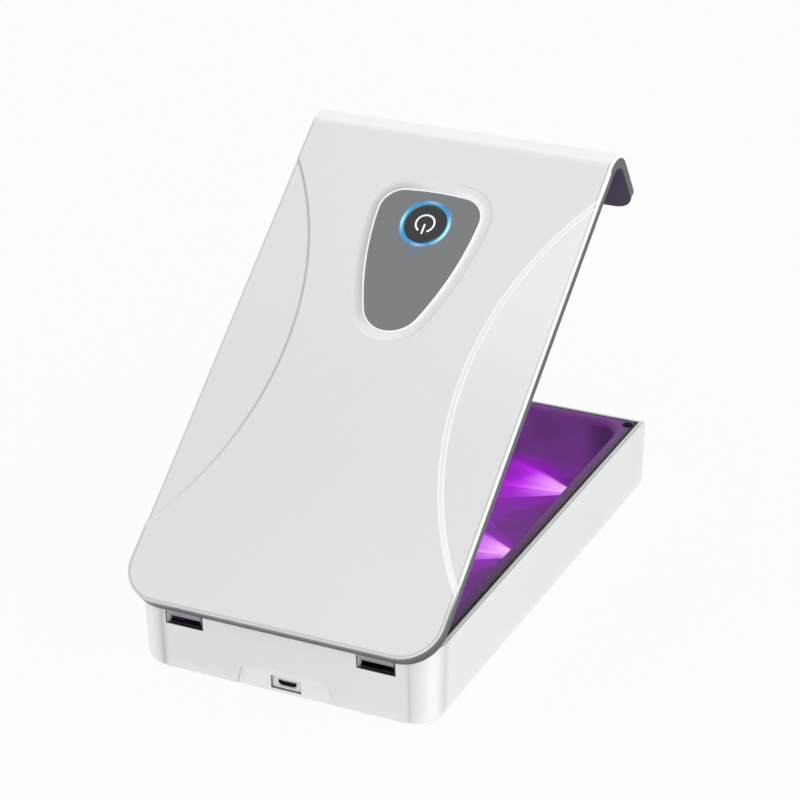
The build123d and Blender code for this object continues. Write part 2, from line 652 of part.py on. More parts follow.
def socket_tongue():
    rear = SOCKET_FRONT - SOCKET_LENGTH + SOCKET_SHEET
    tongue = span(PORT_X - TONGUE_WIDTH / 2, PORT_X + TONGUE_WIDTH / 2, rear,
                  SOCKET_FRONT - TONGUE_SET_BACK, PORT_Z, PORT_Z + TONGUE_HEIGHT)
    return tongue + span(PORT_X - TONGUE_WIDTH / 2, PORT_X + TONGUE_WIDTH / 2, rear,
                         rear + TONGUE_ROOT, PORT_Z - TONGUE_HEIGHT, PORT_Z + TONGUE_HEIGHT)


# ---- lid body, drawn shut ---------------------------------------------------------------
def lid_profile(front, rear, top, thickness, lip_thickness, outer_bend, inner_bend):
    """Side view of a plate that curls down into the lip.  Front is taken at the lid top."""
    def lip_point(back, height):
        return (front + back + (LID_TOP - height) * tan(radians(LIP_DRAFT)), height)

    outer_corner = lip_point(0, top)
    inner_corner = lip_point(lip_thickness, top - thickness)
    with BuildSketch(Plane.YZ) as view:
        Polygon((rear, top), outer_corner, lip_point(0, LIP_BOTTOM),
                lip_point(lip_thickness, LIP_BOTTOM), inner_corner, (rear, top - thickness),
                align=None)
        fillet(view.vertices().sort_by_distance((*outer_corner, 0))[0], outer_bend)
        fillet(view.vertices().sort_by_distance((*inner_corner, 0))[0], inner_bend)
    return view.sketch


def lid_blank(profile, inset):
    """Curled plate with round rear corners and a lip with round lower corners."""
    half = LID_WIDTH / 2 - inset
    blank = extrude(profile, amount=half, both=True)
    seen_from_above = plan(half, LID_FRONT - PAST, LID_REAR - inset, LID_CORNER - inset)
    blank &= extrude(seen_from_above, amount=LID_TOP + PAST)
    with BuildSketch(Plane.XZ.offset(BASE_LENGTH)) as seen_from_front:
        with Locations((0, (LIP_BOTTOM + LID_TOP + PAST) / 2)):
            Rectangle(2 * half, LID_TOP + PAST - LIP_BOTTOM)
        fillet(seen_from_front.vertices().group_by(Axis.Y)[0], LIP_CORNER - inset)
    return blank & extrude(seen_from_front.sketch, amount=-2 * BASE_LENGTH)


def plate_outline(grow=0.0):
    """Shield shape, wide at the lip side and pointed towards the hinge."""
    front = BUTTON_Y - PLATE_FRONT_REACH + PLATE_FRONT_BOW
    sheet = Pos(BUTTON_X, front) * Circle(PLATE_FRONT_BOW + grow)
    for side in SIDES:
        across = BUTTON_X + side * (PLATE_SIDE_BOW - PLATE_HALF_WIDTH)
        sheet &= Pos(across, BUTTON_Y - PLATE_SIDE_REACH) * Circle(PLATE_SIDE_BOW + grow)
    sheet = fillet(sheet.vertices().group_by(Axis.Y)[-1], PLATE_TIP + grow)
    return fillet([v for v in sheet.vertices() if v.Y < BUTTON_Y], PLATE_CORNER + grow)


def flank(side):
    """Shallow field outside one of the two long curves of the skin."""
    rise = FLANK_DEPTH + PAST
    far = FLANK_RADIUS - FLANK_SLOPE
    disc = Cone(far, far + FLANK_SLOPE * rise / FLANK_DEPTH, rise)
    centre = LID_WIDTH / 2 - FLANK_REACH + FLANK_RADIUS
    return Pos(side * centre, FLANK_Y, LID_TOP - FLANK_DEPTH + rise / 2) * disc


def lid_skin():
    profile = lid_profile(LID_FRONT, LID_REAR, LID_TOP, SKIN, SKIN, BEND_RADIUS,
                          BEND_RADIUS - SKIN)
    skin = lid_blank(profile, 0)
    skin = fillet(skin_border(skin), SKIN_EDGE_ROUND)
    skin += skin_edge()
    for side in SIDES:
        skin -= flank(side)
    skin += extrude(Pos(0, 0, PLATE_BOTTOM - PAD) * plate_outline(PAD_RIM),
                    amount=PAD + SKIN / 2)
    skin -= dish()
    skin -= extrude(Pos(0, 0, PLATE_BOTTOM) * plate_outline(FIT), amount=LID_THICKNESS)
    skin -= upright(BUTTON_X, BUTTON_Y, 0, LID_TOP, RING_OUTER + TRAY_GAP)
    for x, y in snap_places():
        skin += span(x - SNAP / 2, x + SNAP / 2, y - SNAP_WIDTH / 2, y + SNAP_WIDTH / 2,
                     SKIN_BOTTOM - SNAP_DEPTH, SKIN_BOTTOM + SKIN / 2)
    return skin


def skin_edge():
    """Deeper border below the flat part of the skin, along its sides and its rear end."""
    half = LID_WIDTH / 2
    start = LID_FRONT + BEND_RADIUS + SKIN
    border = plan(half, start, LID_REAR, LID_CORNER)
    border -= plan(half - SKIN_EDGE_WIDTH, start - PAST, LID_REAR - SKIN_EDGE_WIDTH,
                   LID_CORNER - SKIN_EDGE_WIDTH)
    return extrude(Pos(0, 0, LID_TOP - SKIN_EDGE) * border, amount=SKIN_EDGE - SKIN)


def skin_border(blank):
    """Edges where the outer surface of the skin meets its cut edge."""
    top = blank.faces().sort_by(Axis.Z)[-1]
    front = blank.faces().sort_by(Axis.Y)[0]
    border = set(top.edges()) ^ set(front.edges())
    for face in blank.faces().filter_by(GeomType.CYLINDER):
        edges = set(face.edges())
        if edges & set(top.edges()) and edges & set(front.edges()):
            border ^= edges
    return list(border)


def snap_places():
    """Tongues under the skin that grip the inside of the liner rim."""
    x = LID_WIDTH / 2 - LINER_INSET - LINER_RIM - FIT - SNAP / 2
    return [(side * x, LID_FRONT + SNAP_FROM_FRONT + step * SNAP_PITCH)
            for side in SIDES for step in range(SNAP_COUNT)]


def dish():
    """Hollow whose sides slope down to the edge of the control plate."""
    low = Pos(0, 0, PLATE_TOP) * plate_outline(BEZEL)
    high = Pos(0, 0, LID_TOP) * plate_outline(BEZEL + DISH_WIDTH)
    return loft([low, high]) + extrude(high, amount=PAST)


def lid_liner():
    front = LID_FRONT + SKIN
    profile = lid_profile(front, LID_REAR - LINER_INSET, SKIN_BOTTOM, LID_THICKNESS - SKIN,
                          LIP_THICKNESS - SKIN, BEND_RADIUS - SKIN, CURL_ROUND)
    liner = lid_blank(profile, LINER_INSET) - skin_edge()
    half = LID_WIDTH / 2 - LINER_INSET
    rear = LID_REAR - LINER_INSET
    liner -= span(LINER_RIM - half, half - LINER_RIM, front - PAST, rear - LINER_REAR_RIM,
                  PANEL_TOP, LID_TOP)
    liner -= span(LINER_RIM - half, half - LINER_RIM, front - PAST, LIP_INNER - LINER_LIP_WALL,
                  LIP_BOTTOM + LIP_CORNER, PANEL_TOP + PAST)
    inner_plan = plan(half - GROOVE_RIM, LIP_INNER, rear - GROOVE_RIM / 2,
                      LID_CORNER - GROOVE_RIM)
    liner -= crossbar(-half, half, PIVOT_Y, PIVOT_Z, GROOVE_RADIUS) & extrude(inner_plan,
                                                                           amount=LID_TOP)
    for side in SIDES:
        near = side * (SLOT_INNER + GAP)
        far = side * (SLOT_OUTER - GAP)
        liner += crossbar(near, far, PIVOT_Y, PIVOT_Z, ARM_RADIUS)
        liner += span(near, far, PIVOT_Y - ARM_RADIUS, PIVOT_Y + ARM_RADIUS, PIVOT_Z,
                      LINER_BOTTOM + LINER_PANEL)
    liner -= crossbar(-half, half, PIVOT_Y, PIVOT_Z, PIN_RADIUS + FIT)
    return liner


def control_plate():
    plate = extrude(Pos(0, 0, PLATE_BOTTOM) * plate_outline(), amount=PLATE)
    return plate - upright(BUTTON_X, BUTTON_Y, 0, LID_TOP + PAST, RING_OUTER + FIT)


def light_ring():
    """Clear collar round the button with room for the flange of the button below."""
    bottom = PLATE_TOP - RING_HEIGHT
    ring = upright(BUTTON_X, BUTTON_Y, bottom, PLATE_TOP + BUTTON_PROUD / 2, RING_OUTER)
    ring -= upright(BUTTON_X, BUTTON_Y, 0, LID_TOP + PAST, RING_INNER)
    return ring - upright(BUTTON_X, BUTTON_Y, 0, CAP_BOTTOM + FLANGE_REST, FLANGE_RADIUS + TRAY_GAP)


def button_board():
    return span(BUTTON_X - BUTTON_BOARD_WIDTH / 2, BUTTON_X + BUTTON_BOARD_WIDTH / 2,
                BUTTON_Y - BUTTON_BOARD_LENGTH / 2, BUTTON_Y + BUTTON_BOARD_LENGTH / 2,
                PANEL_TOP, BUTTON_BOARD_TOP)


def ring_leds():
    """Small lamps standing in a circle below the light ring."""
    middle = (RING_OUTER + FLANGE_RADIUS) / 2
    lamp = Pos(middle, 0, BUTTON_BOARD_TOP + RING_LED_HEIGHT / 2) * Box(
        RING_LED_WIDTH, RING_LED_LENGTH, RING_LED_HEIGHT)
    return Compound([Pos(BUTTON_X, BUTTON_Y, 0) * Rot(0, 0, step * 360 / RING_LED_COUNT) * lamp
                     for step in range(RING_LED_COUNT)])


def switch_body():
    body = span(BUTTON_X - SWITCH_SIZE / 2, BUTTON_X + SWITCH_SIZE / 2,
                BUTTON_Y - SWITCH_SIZE / 2, BUTTON_Y + SWITCH_SIZE / 2,
                BUTTON_BOARD_TOP, SWITCH_TOP)
    return body - upright(BUTTON_X, BUTTON_Y, BUTTON_BOARD_TOP + SWITCH_FLOOR, LID_TOP,
                          PLUNGER_RADIUS + FIT)


# ---- button body, drawn shut ------------------------------------------------------------
def power_symbol(height):
    """Broken ring with a bar through its opening on the hinge side."""
    outer = SYMBOL_RADIUS + SYMBOL_STROKE / 2
    inner = SYMBOL_RADIUS - SYMBOL_STROKE / 2
    reach = 2 * SYMBOL_RADIUS
    wedge = make_face(Polyline((0, 0),
                               (-reach * sin(radians(SYMBOL_GAP / 2)),
                                reach * cos(radians(SYMBOL_GAP / 2))),
                               (reach * sin(radians(SYMBOL_GAP / 2)),
                                reach * cos(radians(SYMBOL_GAP / 2))), close=True))
    ring = Circle(outer) - Circle(inner) - wedge
    bar = Pos(0, BAR_MIDDLE) * SlotOverall(BAR_LENGTH, SYMBOL_STROKE, rotation=90)
    place = Pos(BUTTON_X, BUTTON_Y, BUTTON_TOP - SYMBOL_DEPTH)
    return Compound([extrude(place * ring, amount=height), extrude(place * bar, amount=height)])


def power_button():
    cap = upright(BUTTON_X, BUTTON_Y, CAP_BOTTOM, BUTTON_TOP, BUTTON_RADIUS)
    cap = chamfer(cap.edges().group_by(Axis.Z)[-1], BUTTON_PROUD)
    cap += upright(BUTTON_X, BUTTON_Y, CAP_BOTTOM - FLANGE, CAP_BOTTOM, FLANGE_RADIUS)
    cap += upright(BUTTON_X, BUTTON_Y, PLUNGER_TOP, CAP_BOTTOM, STEM_RADIUS)
    return cap - power_symbol(2 * SYMBOL_DEPTH)


def switch_plunger():
    bottom = BUTTON_BOARD_TOP + SWITCH_FLOOR + BUTTON_TRAVEL + FIT
    return upright(BUTTON_X, BUTTON_Y, bottom, PLUNGER_TOP, PLUNGER_RADIUS)


def base_pieces():
    pieces = {
        "base_shell": base_shell(),
        "inner_tray": inner_tray(),
        "base_screws": base_screws(),
        "main_board": main_board(),
        "main_chip": main_chip(),
        "boost_coil": boost_coil(),
        "lead_headers": lead_headers(),
        "board_screws": board_screws(),
        "socket_shell": socket_shell(),
        "socket_tongue": socket_tongue(),
    }
    pieces.update(feet())
    for side, name in zip(SIDES, ("left", "right")):
        pieces["rim_bumper_" + name] = rim_bumper(side)
        pieces["lamp_windows_" + name] = lamp_windows(side)
        pieces["lamp_leds_" + name] = lamp_leds(side)
        pieces["lamp_board_" + name] = lamp_board(side)
        pieces["lamp_lead_" + name] = lamp_lead(side)
        pieces["hinge_pin_" + name] = hinge_pin(side)
    return pieces


def lid_pieces():
    return {
        "lid_skin": lid_skin(),
        "lid_liner": lid_liner(),
        "control_plate": control_plate(),
        "light_ring": light_ring(),
        "button_board": button_board(),
        "ring_leds": ring_leds(),
        "switch_body": switch_body(),
        "power_button": power_button(),
        "power_symbol": power_symbol(SYMBOL_DEPTH),
        "switch_plunger": switch_plunger(),
    }


def main():
    os.makedirs("parts", exist_ok=True)
    pieces = base_pieces()
    for name, piece in lid_pieces().items():
        pieces[name] = swing_open(piece)
    for name, piece in pieces.items():
        export_step(Pos(0, FRAME_SHIFT, 0) * piece, "parts/" + name + ".step")


if __name__ == "__main__":
    main()
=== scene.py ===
import json
from math import pi, radians

import bpy
from bpy.props import FloatProperty, FloatVectorProperty, PointerProperty
from mathutils import Matrix, Vector


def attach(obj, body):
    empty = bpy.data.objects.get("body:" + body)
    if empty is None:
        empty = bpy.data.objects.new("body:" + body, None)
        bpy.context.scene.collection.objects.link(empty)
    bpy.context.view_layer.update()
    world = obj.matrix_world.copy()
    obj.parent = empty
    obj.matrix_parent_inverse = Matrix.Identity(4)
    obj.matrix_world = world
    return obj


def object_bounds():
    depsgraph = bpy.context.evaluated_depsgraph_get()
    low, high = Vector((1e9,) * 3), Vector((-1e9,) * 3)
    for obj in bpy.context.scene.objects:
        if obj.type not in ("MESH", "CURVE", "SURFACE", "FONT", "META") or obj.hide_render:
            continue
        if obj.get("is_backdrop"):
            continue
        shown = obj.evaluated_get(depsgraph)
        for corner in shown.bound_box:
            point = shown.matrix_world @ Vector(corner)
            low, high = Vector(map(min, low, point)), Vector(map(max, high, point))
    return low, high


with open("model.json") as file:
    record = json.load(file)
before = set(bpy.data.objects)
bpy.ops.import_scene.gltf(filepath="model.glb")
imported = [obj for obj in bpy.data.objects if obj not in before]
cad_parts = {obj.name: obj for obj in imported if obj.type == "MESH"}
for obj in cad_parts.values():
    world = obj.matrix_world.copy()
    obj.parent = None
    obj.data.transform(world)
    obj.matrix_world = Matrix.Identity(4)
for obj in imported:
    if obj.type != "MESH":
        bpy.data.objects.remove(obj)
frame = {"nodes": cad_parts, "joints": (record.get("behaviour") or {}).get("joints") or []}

bl_info = {
    "name": "Phone UV box finisher",
    "version": (1, 0, 0),
    "blender": (4, 5, 0),
    "location": "View3D > Sidebar > UV box",
    "description": "Finishes, lights and small parts for a hinged UV box for phones",
    "category": "Object",
}

# ---- places taken over from the model, metres
MM = 0.001
HINGE = next(joint for joint in frame["joints"] if joint["name"] == "lid_hinge")
PIVOT = Vector(HINGE["pos_m"])
REST_TURN = radians(HINGE["range_deg"][0])      # lid from shut to rest, about X
LID_TURNED = Matrix.Rotation(REST_TURN, 3, "X")
LID_UP = LID_TURNED @ Vector((0.0, 0.0, 1.0))
LID_FORWARD = LID_TURNED @ Vector((0.0, -1.0, 0.0))
BUTTON_SHUT = Vector((0.8 * MM, -64.55 * MM, 36.6 * MM))
# Middles and radii of the plate's bowed front and sides, seen from the button
PLATE_FRONT = (0.0, 105.1 * MM, 118.5 * MM)
PLATE_SIDE = (-98.0 * MM, -8.3 * MM, 118.0 * MM)
PLATE_TIP = 11.5 * MM
PLATE_CORNER = 9.0 * MM
# Edges of the plate that carry the bead: sharp, away from the button and at the top
SHARP_EDGE = radians(60.0)
BUTTON_OPENING = 12.0 * MM
TOP_DEPTH = 0.1 * MM
WELD = 0.01 * MM
# Middle and radius of the curve where a flank of the lid begins
FLANK = (164.6 * MM, -6.55 * MM, 131.0 * MM)
FLANK_OFFSET = 1.4 * MM                         # its painted lines start this far outwards
LID_HALF_WIDTH = 59.4 * MM
LID_REAR = 97.45 * MM
LID_CORNER = 14.0 * MM
TUB_CORNER = (45.5 * MM, 84.95 * MM)            # middle of the round rear corners
TUB_CORNER_LEAD = 3.0 * MM                      # the bands start this far ahead of it
RING_EDGE = 9.2 * MM                            # outer radius of the lit ring
LAMP_ROW = 3                                    # lamps in each side wall
SIDES = ("left", "right")
CAMERA_TARGET = Vector((5.603, -12.53, 65.253)) * MM
LAMP_TARGET = Vector((0.0, 0.0, 50 * MM))
SENSOR_WIDTH = 36.0                             # millimetres

# ---- places of painted light and shadow, millimetres
# Boxes round parts of the tub's rear wall
SLOT = ((29.3, 43.9), (92.2, 96.8), (20.2, 31.2))
POCKET = ((-6.9, 4.9), (92.9, 94.1), (2.5, 7.7))
BAY_SIDES = ((-22.0, 18.4), (94.3, 96.8), (-1.0, 11.2))
BAY_FACE = ((-22.0, 18.4), (94.0, 94.3), (-1.0, 11.2))
# Bands, each given by where it starts, is full, begins to fall and has ended
SLOT_LEDGE = (94.9, 95.0, 95.3, 95.4)     # rearwards
RIM_STEP = (30.2, 30.4, 30.6, 30.7)       # upwards
DISH_RIM = (3.6, 4.0, 4.3, 4.8)           # outwards from the control plate
FLANK_SHADOW = (-0.1, 0.3, 0.9, 1.3)      # inwards from the curve of a flank
FLANK_LINES = ((-0.5, -0.2, 0.1, 0.4), (1.1, 1.4, 1.7, 2.0))
LID_LINE = (0.5, 0.7, 0.9, 1.2)           # inwards from the border of the lid
# Steps, each given by where it is 0 and where it is 1. On the lid, seen from the button
LID_FADE = (-40.0, 120.0)                 # painted shade, darker towards the rear
LID_SIDES = (145.0, 125.0)                # ahead of the round rear corners
LIT_HALF = (-1.0, -13.0)                  # side of the plate that catches the light
DARK_HALF = (1.0, 15.0)
DISH_SHADOW = (4.4, 0.3)                  # outwards from the control plate
DISH_LIGHT = (2.6, 0.8)
REAR_LINE = (0.9, 0.5)                    # inwards from the border of the lid
# Painted highlight along the lid's sides
SIDE_HIGHLIGHT = (0.5, 0.3)
SIDE_FACE = (0.4, 0.2)
FLANK_FACE = (0.0, -1.0)                  # inwards from the curve of a flank
FLANK_FADE = (85.0, 20.0)                 # fainter towards the rear
REAR_FOOT = (0.0, -0.15)                  # upwards
SIDE_FOOT = (-1.0, -1.3)
# Where the hinge arms are painted lighter, as painted light
ARM_TOP = (-5.8, -6.4)
ARM_FRONT = (135.0, 140.0)                # rearwards
BEHIND_BEND = (-30.0, -20.0)
# Painted highlight on the bend from the lid to the lip
BEND_RISE = (0.02, 0.32)                  # sine of the turn from the lid to the lip
BEND_FALL = (0.95, 0.8)
# In the tray, from the middle of the box and upwards
HOLLOW_TOP = (29.6, 27.6)
INNER_EDGE = (30.6, 30.1)
FRONT_BAR = (-86.0, -90.0)
BAR_SIDES = (52.0, 45.0)
DECK_EDGE = (55.3, 52.3)
SIDE_GAP = (54.6, 55.0)
FRONT_GAP = (-96.5, -96.9)
FRONT_END = (-72.0, -84.0)
DARK_CORNER = (34.0, 46.0)
NEAR_WALL = (36.0, 44.0)
LIGHT_MIDDLE = (0.0, -15 * MM, 60 * MM)   # above the hollow, metres
RING_FACE = (8.2, 8.9)                    # from the middle of the button
# Start and run of the two rays on the plate, from the button
STREAKS = (((1.6, 9.6), (-0.5, 6.9)), ((-1.7, 9.0), (0.0, 7.5)))
# Turns in degrees between which the round rear corners are painted
CORNER_START = -20
CORNER_END = 110

# ---- looks
WHITE = (1.0, 1.0, 1.0)
BLACK = (0.0, 0.0, 0.0)
GAP_SHADOW = (0.01, 0.01, 0.012)                      # painted shadow at the bottom of the gap between tray and tub
DUST = (0.6, 0.6, 0.58)
POLISH = {"Coat_Weight": 0.5, "Coat_Roughness": 0.08}
SATIN = {"grain": 0.5, "scale": 1600.0}
GRAIN_RELIEF = 0.35
# Places of the colour sockets of a Mix node
MIX_FACTOR, MIX_FIRST, MIX_SECOND, MIX_RESULT = 0, 6, 7, 2


def on_open_lid(point):
    """Rest place of a point given for the shut lid."""
    return PIVOT + LID_TURNED @ (Vector(point) - PIVOT)


def srgb(red, green, blue):
    """Linear colour from the 0 to 255 values seen on a screen."""
    def linear(value):
        value /= 255
        return value / 12.92 if value <= 0.04045 else ((value + 0.055) / 1.055) ** 2.4
    return (linear(red), linear(green), linear(blue))


# ---- sizes and colours a user may change
def colour_prop(name, description, default):
    return FloatVectorProperty(name=name, description=description, default=default,
                               subtype="COLOR", size=3, min=0.0, max=1.0)


def length_prop(name, description, millimetres):
    return FloatProperty(name=name, description=description, default=millimetres * MM,
                         subtype="DISTANCE", unit="LENGTH", precision=5)


def factor_prop(name, description, default, top=1.0):
    return FloatProperty(name=name, description=description, default=default, min=0.0, max=top)


class HousingSettings(bpy.types.PropertyGroup):
    white: colour_prop("White", "Colour of the tub", srgb(240, 240, 241))
    # Painted light: the walls are painted lighter towards the table, for light thrown back by the
    # floor
    floor_lit_white: colour_prop("White near the table", "Lighter tone at the foot of the walls",
                           srgb(253, 253, 254))
    fade_height: length_prop("Fade height", "Height over which the walls grow lighter", 8.0)
    # Painted shade: the lid runs from its front colour at the lip to a darker rear
    lid: colour_prop("Lid front", "Colour of the lid near the lip", srgb(252, 252, 253))
    lid_rear: colour_prop("Lid rear", "Colour of the lid near the hinge", srgb(246, 246, 247))
    shade: colour_prop("Dark line", "Tone of the shaded curves and hollows",
                       srgb(205, 205, 207))
    # Painted shade: dark ledges in the socket pocket and the hinge slots, where shade falls
    gap: colour_prop("Gap", "Tone of the ledges round the socket", srgb(92, 92, 96))
    foot: colour_prop("Skin foot", "Lower part of the skin's edge", srgb(66, 66, 70))
    # Painted shade deep in the hinge slots
    hole: colour_prop("Hole", "Tone deep in the hinge slots", srgb(16, 16, 18))
    # The painted highlights of the lid also give off a faint light of this strength
    shine: factor_prop("Shine", "Glow of the bright edges of the lid", 0.2)
    corner_shine: factor_prop("Corner shine", "Glow of the bright bands on the tub", 0.08)
    roughness: factor_prop("Roughness", "Roughness of the polished skins", 0.26)
    grain: factor_prop("Grain", "Strength of the moulded grain", 0.25)
    rubber: colour_prop("Rubber", "Colour of feet and bumpers", srgb(12, 12, 14))


class TraySettings(bpy.types.PropertyGroup):
    grey: colour_prop("Tray grey", "Colour of the rim and deck", srgb(90, 88, 96))
    # Painted lamp light on the round inner edge of the rim and the deck
    tint: colour_prop("Rim tint", "Lamp light on the round inner edge", srgb(138, 74, 158))
    # Painted light: the hinge arms are the liner's grey, painted lighter for light that reaches
    # them in the slots
    arm: colour_prop("Hinge arms", "Colour of the arms that reach the pins", srgb(168, 168, 174))
    liner: colour_prop("Liner grey", "Colour of the inner shell of the lid", srgb(74, 74, 79))
    roughness: factor_prop("Roughness", "Roughness of the grey mouldings", 0.42)


class GlowSettings(bpy.types.PropertyGroup):
    core: colour_prop("Core", "Light right at a lamp", srgb(252, 190, 255))
    bright: colour_prop("Bright rays", "Middle rays of a fan", srgb(204, 78, 244))
    magenta: colour_prop("Outer rays", "Rays either side of the middle", srgb(180, 34, 226))
    purple: colour_prop("Half light", "Soft light beyond the rays", srgb(134, 26, 172))
    deep: colour_prop("Deep light", "Walls and dark places of the hollow", srgb(98, 48, 118))
    corner: colour_prop("Corner", "Darkest corners of the hollow", srgb(62, 34, 74))
    dim: colour_prop("Dim floor", "Floor between two fans", srgb(96, 32, 118))
    violet: colour_prop("Violet", "Floor close to the side walls", srgb(138, 34, 184))
    fan_x: length_prop("Fan foot from the middle", "Where the rays meet, across", 42.4)
    fan_y: length_prop("First fan", "Where the rays of the front lamps meet, along", -69.8)
    pitch: length_prop("Lamp pitch", "From lamp to lamp", 55.0)
    reach: length_prop("Reach", "Length of the rays", 48.0)
    clouds: factor_prop("Clouds", "Depth of the dull patches in the light", 0.35)
    strength: factor_prop("Strength", "Strength of the painted light", 1.08, 5.0)


class ControlSettings(bpy.types.PropertyGroup):
    plate: colour_prop("Plate grey", "Colour of the control plate", srgb(131, 134, 136))
    disc: colour_prop("Button", "Colour of the button", srgb(38, 38, 42))
    symbol: colour_prop("Symbol", "Colour of the power symbol", srgb(244, 247, 250))
    blue: colour_prop("Ring blue", "Colour of the lit ring", srgb(30, 146, 222))
    cyan: colour_prop("Ring highlight", "Brightest places of the ring", srgb(190, 255, 250))
    lilac: colour_prop("Ring ends", "Palest blue of the ring", srgb(164, 186, 226))
    inner: colour_prop("Ring foot", "Dim inner side of the ring", srgb(66, 138, 168))
    halo: length_prop("Halo", "Width of the glow on the plate", 1.0)
    bead: length_prop("Bead", "Radius of the bright bead round the plate", 0.33)
    streak: colour_prop("Streak", "Colour of the two rays on the plate", srgb(20, 118, 176))


class StageSettings(bpy.types.PropertyGroup):
    floor: length_prop("Floor size", "Side of the pale floor", 6000.0)
    floor_light: factor_prop("Floor light", "Share of white the camera sees on the floor", 0.94)
    sky: factor_prop("Sky", "Strength of the even light", 0.64, 5.0)
    rear: FloatProperty(name="Rear lamp", description="Power of the lamp behind the hinge",
                        default=2.8, min=0.0, unit="POWER")
    side: FloatProperty(name="Side lamp", description="Power of the low lamp at the side",
                        default=1.8, min=0.0, unit="POWER")
    distance: length_prop("Camera distance", "From the camera to its target", 1013.82)
    azimuth: FloatProperty(name="Azimuth", description="Camera angle round the box",
                           default=radians(205.586), subtype="ANGLE")
    elevation: FloatProperty(name="Elevation", description="Camera angle above the floor",
                             default=radians(25.527), subtype="ANGLE")
    roll: FloatProperty(name="Roll", description="Camera tilt", default=radians(-0.655),
                        subtype="ANGLE")
    lens: FloatProperty(name="Lens", description="Focal length in millimetres", default=124.96,
                        min=10.0)


class UvBoxSettings(bpy.types.PropertyGroup):
    housing: PointerProperty(type=HousingSettings)
    tray: PointerProperty(type=TraySettings)
    glow: PointerProperty(type=GlowSettings)
    control: PointerProperty(type=ControlSettings)
    stage: PointerProperty(type=StageSettings)


# ---- node helpers
def fill(tree, socket, value):
    """Gives an input a plain value, or joins it to another node's output."""
    if isinstance(value, bpy.types.NodeSocket):
        tree.links.new(value, socket)
    elif socket.type == "RGBA":
        socket.default_value = (*value, 1.0)
    else:
        socket.default_value = value


def add(tree, kind, values=None, **settings):
    """Adds a node, sets it up and fills its inputs. Returns its outputs."""
    node = tree.nodes.new(kind)
    for name, value in settings.items():
        setattr(node, name, value)
    for name, value in (values or {}).items():
        fill(tree, node.inputs[name], value)
    return node.outputs


def wire(tree, node, **values):
    """Fills inputs of a node that is there already. An underscore stands for a space."""
    for name, value in values.items():
        fill(tree, node.inputs[name.replace("_", " ")], value)


def calc(tree, operation, *values):
    """Math node on up to three numbers or sockets."""
    return add(tree, "ShaderNodeMath", dict(enumerate(values)), operation=operation)[0]


def product(tree, *factors):
    """All the factors multiplied."""
    found = factors[0]
    for factor in factors[1:]:
        found = calc(tree, "MULTIPLY", found, factor)
    return found


def highest(tree, *values):
    """The highest of all the values."""
    found = values[0]
    for value in values[1:]:
        found = calc(tree, "MAXIMUM", found, value)
    return found


def reversed_mask(tree, mask):
    """1 where a mask is 0, and 0 where it is 1."""
    return calc(tree, "SUBTRACT", 1.0, mask)


def above(tree, value, limit):
    """1 where a value is above a limit."""
    return calc(tree, "GREATER_THAN", value, limit)


def below(tree, value, limit):
    """1 where a value is below a limit."""
    return calc(tree, "LESS_THAN", value, limit)


def size_of(tree, value):
    """A number without its sign."""
    return calc(tree, "ABSOLUTE", value)


def vector_calc(tree, operation, *values):
    """Vector math node. Returns its vector."""
    inputs = dict(enumerate(values))
    return add(tree, "ShaderNodeVectorMath", inputs, operation=operation)["Vector"]


def measured(tree, operation, *values):
    """Vector math node that gives a number, such as a length."""
    inputs = dict(enumerate(values))
    return add(tree, "ShaderNodeVectorMath", inputs, operation=operation)["Value"]


def split(tree, vector):
    """The X, Y and Z of a vector."""
    return add(tree, "ShaderNodeSeparateXYZ", {"Vector": vector})


def flat_vector(tree, x, y):
    """Vector with no height."""
    return add(tree, "ShaderNodeCombineXYZ", {"X": x, "Y": y})["Vector"]


def noise(tree, vector, scale, detail):
    values = {"Vector": vector, "Scale": scale, "Detail": detail}
    return add(tree, "ShaderNodeTexNoise", values)["Fac"]


def surface_normal(tree):
    return add(tree, "ShaderNodeNewGeometry")["Normal"]


def between(tree, value, low, high, start=0.0, end=1.0, shape="SMOOTHSTEP"):
    """Step of a value from one limit to the other, smooth unless told otherwise."""
    values = {"Value": value, "From Min": low, "From Max": high, "To Min": start, "To Max": end}
    return add(tree, "ShaderNodeMapRange", values, interpolation_type=shape)["Result"]


def step(tree, value, limits, start=0.0, end=1.0):
    """Smooth step between two limits given in millimetres."""
    return between(tree, value, limits[0] * MM, limits[1] * MM, start, end)


def band(tree, value, start, full, fall, end):
    """1 between two values, with soft sides. The limits are in millimetres."""
    return product(tree, step(tree, value, (start, full)), step(tree, value, (end, fall)))


def in_box(tree, axes, box):
    """1 inside a box given by its limits in millimetres."""
    found = 1.0
    for name, (low, high) in zip("XYZ", box):
        found = product(tree, found, above(tree, axes[name], low * MM),
                        below(tree, axes[name], high * MM))
    return found


def blended(tree, factor, first, second):
    """Colour between two colours."""
    inputs = {MIX_FACTOR: factor, MIX_FIRST: first, MIX_SECOND: second}
    return add(tree, "ShaderNodeMix", inputs, data_type="RGBA")[MIX_RESULT]


def ramp(tree, value, stops):
    """Colour ramp from (place, colour) pairs."""
    node = tree.nodes.new("ShaderNodeValToRGB")
    fill(tree, node.inputs["Fac"], value)
    marks = node.color_ramp.elements
    while len(marks) < len(stops):
        marks.new(0.5)
    for mark, (place, colour) in zip(marks, stops):
        mark.position = place
        mark.color = (*colour, 1.0)
    return node.outputs["Color"]


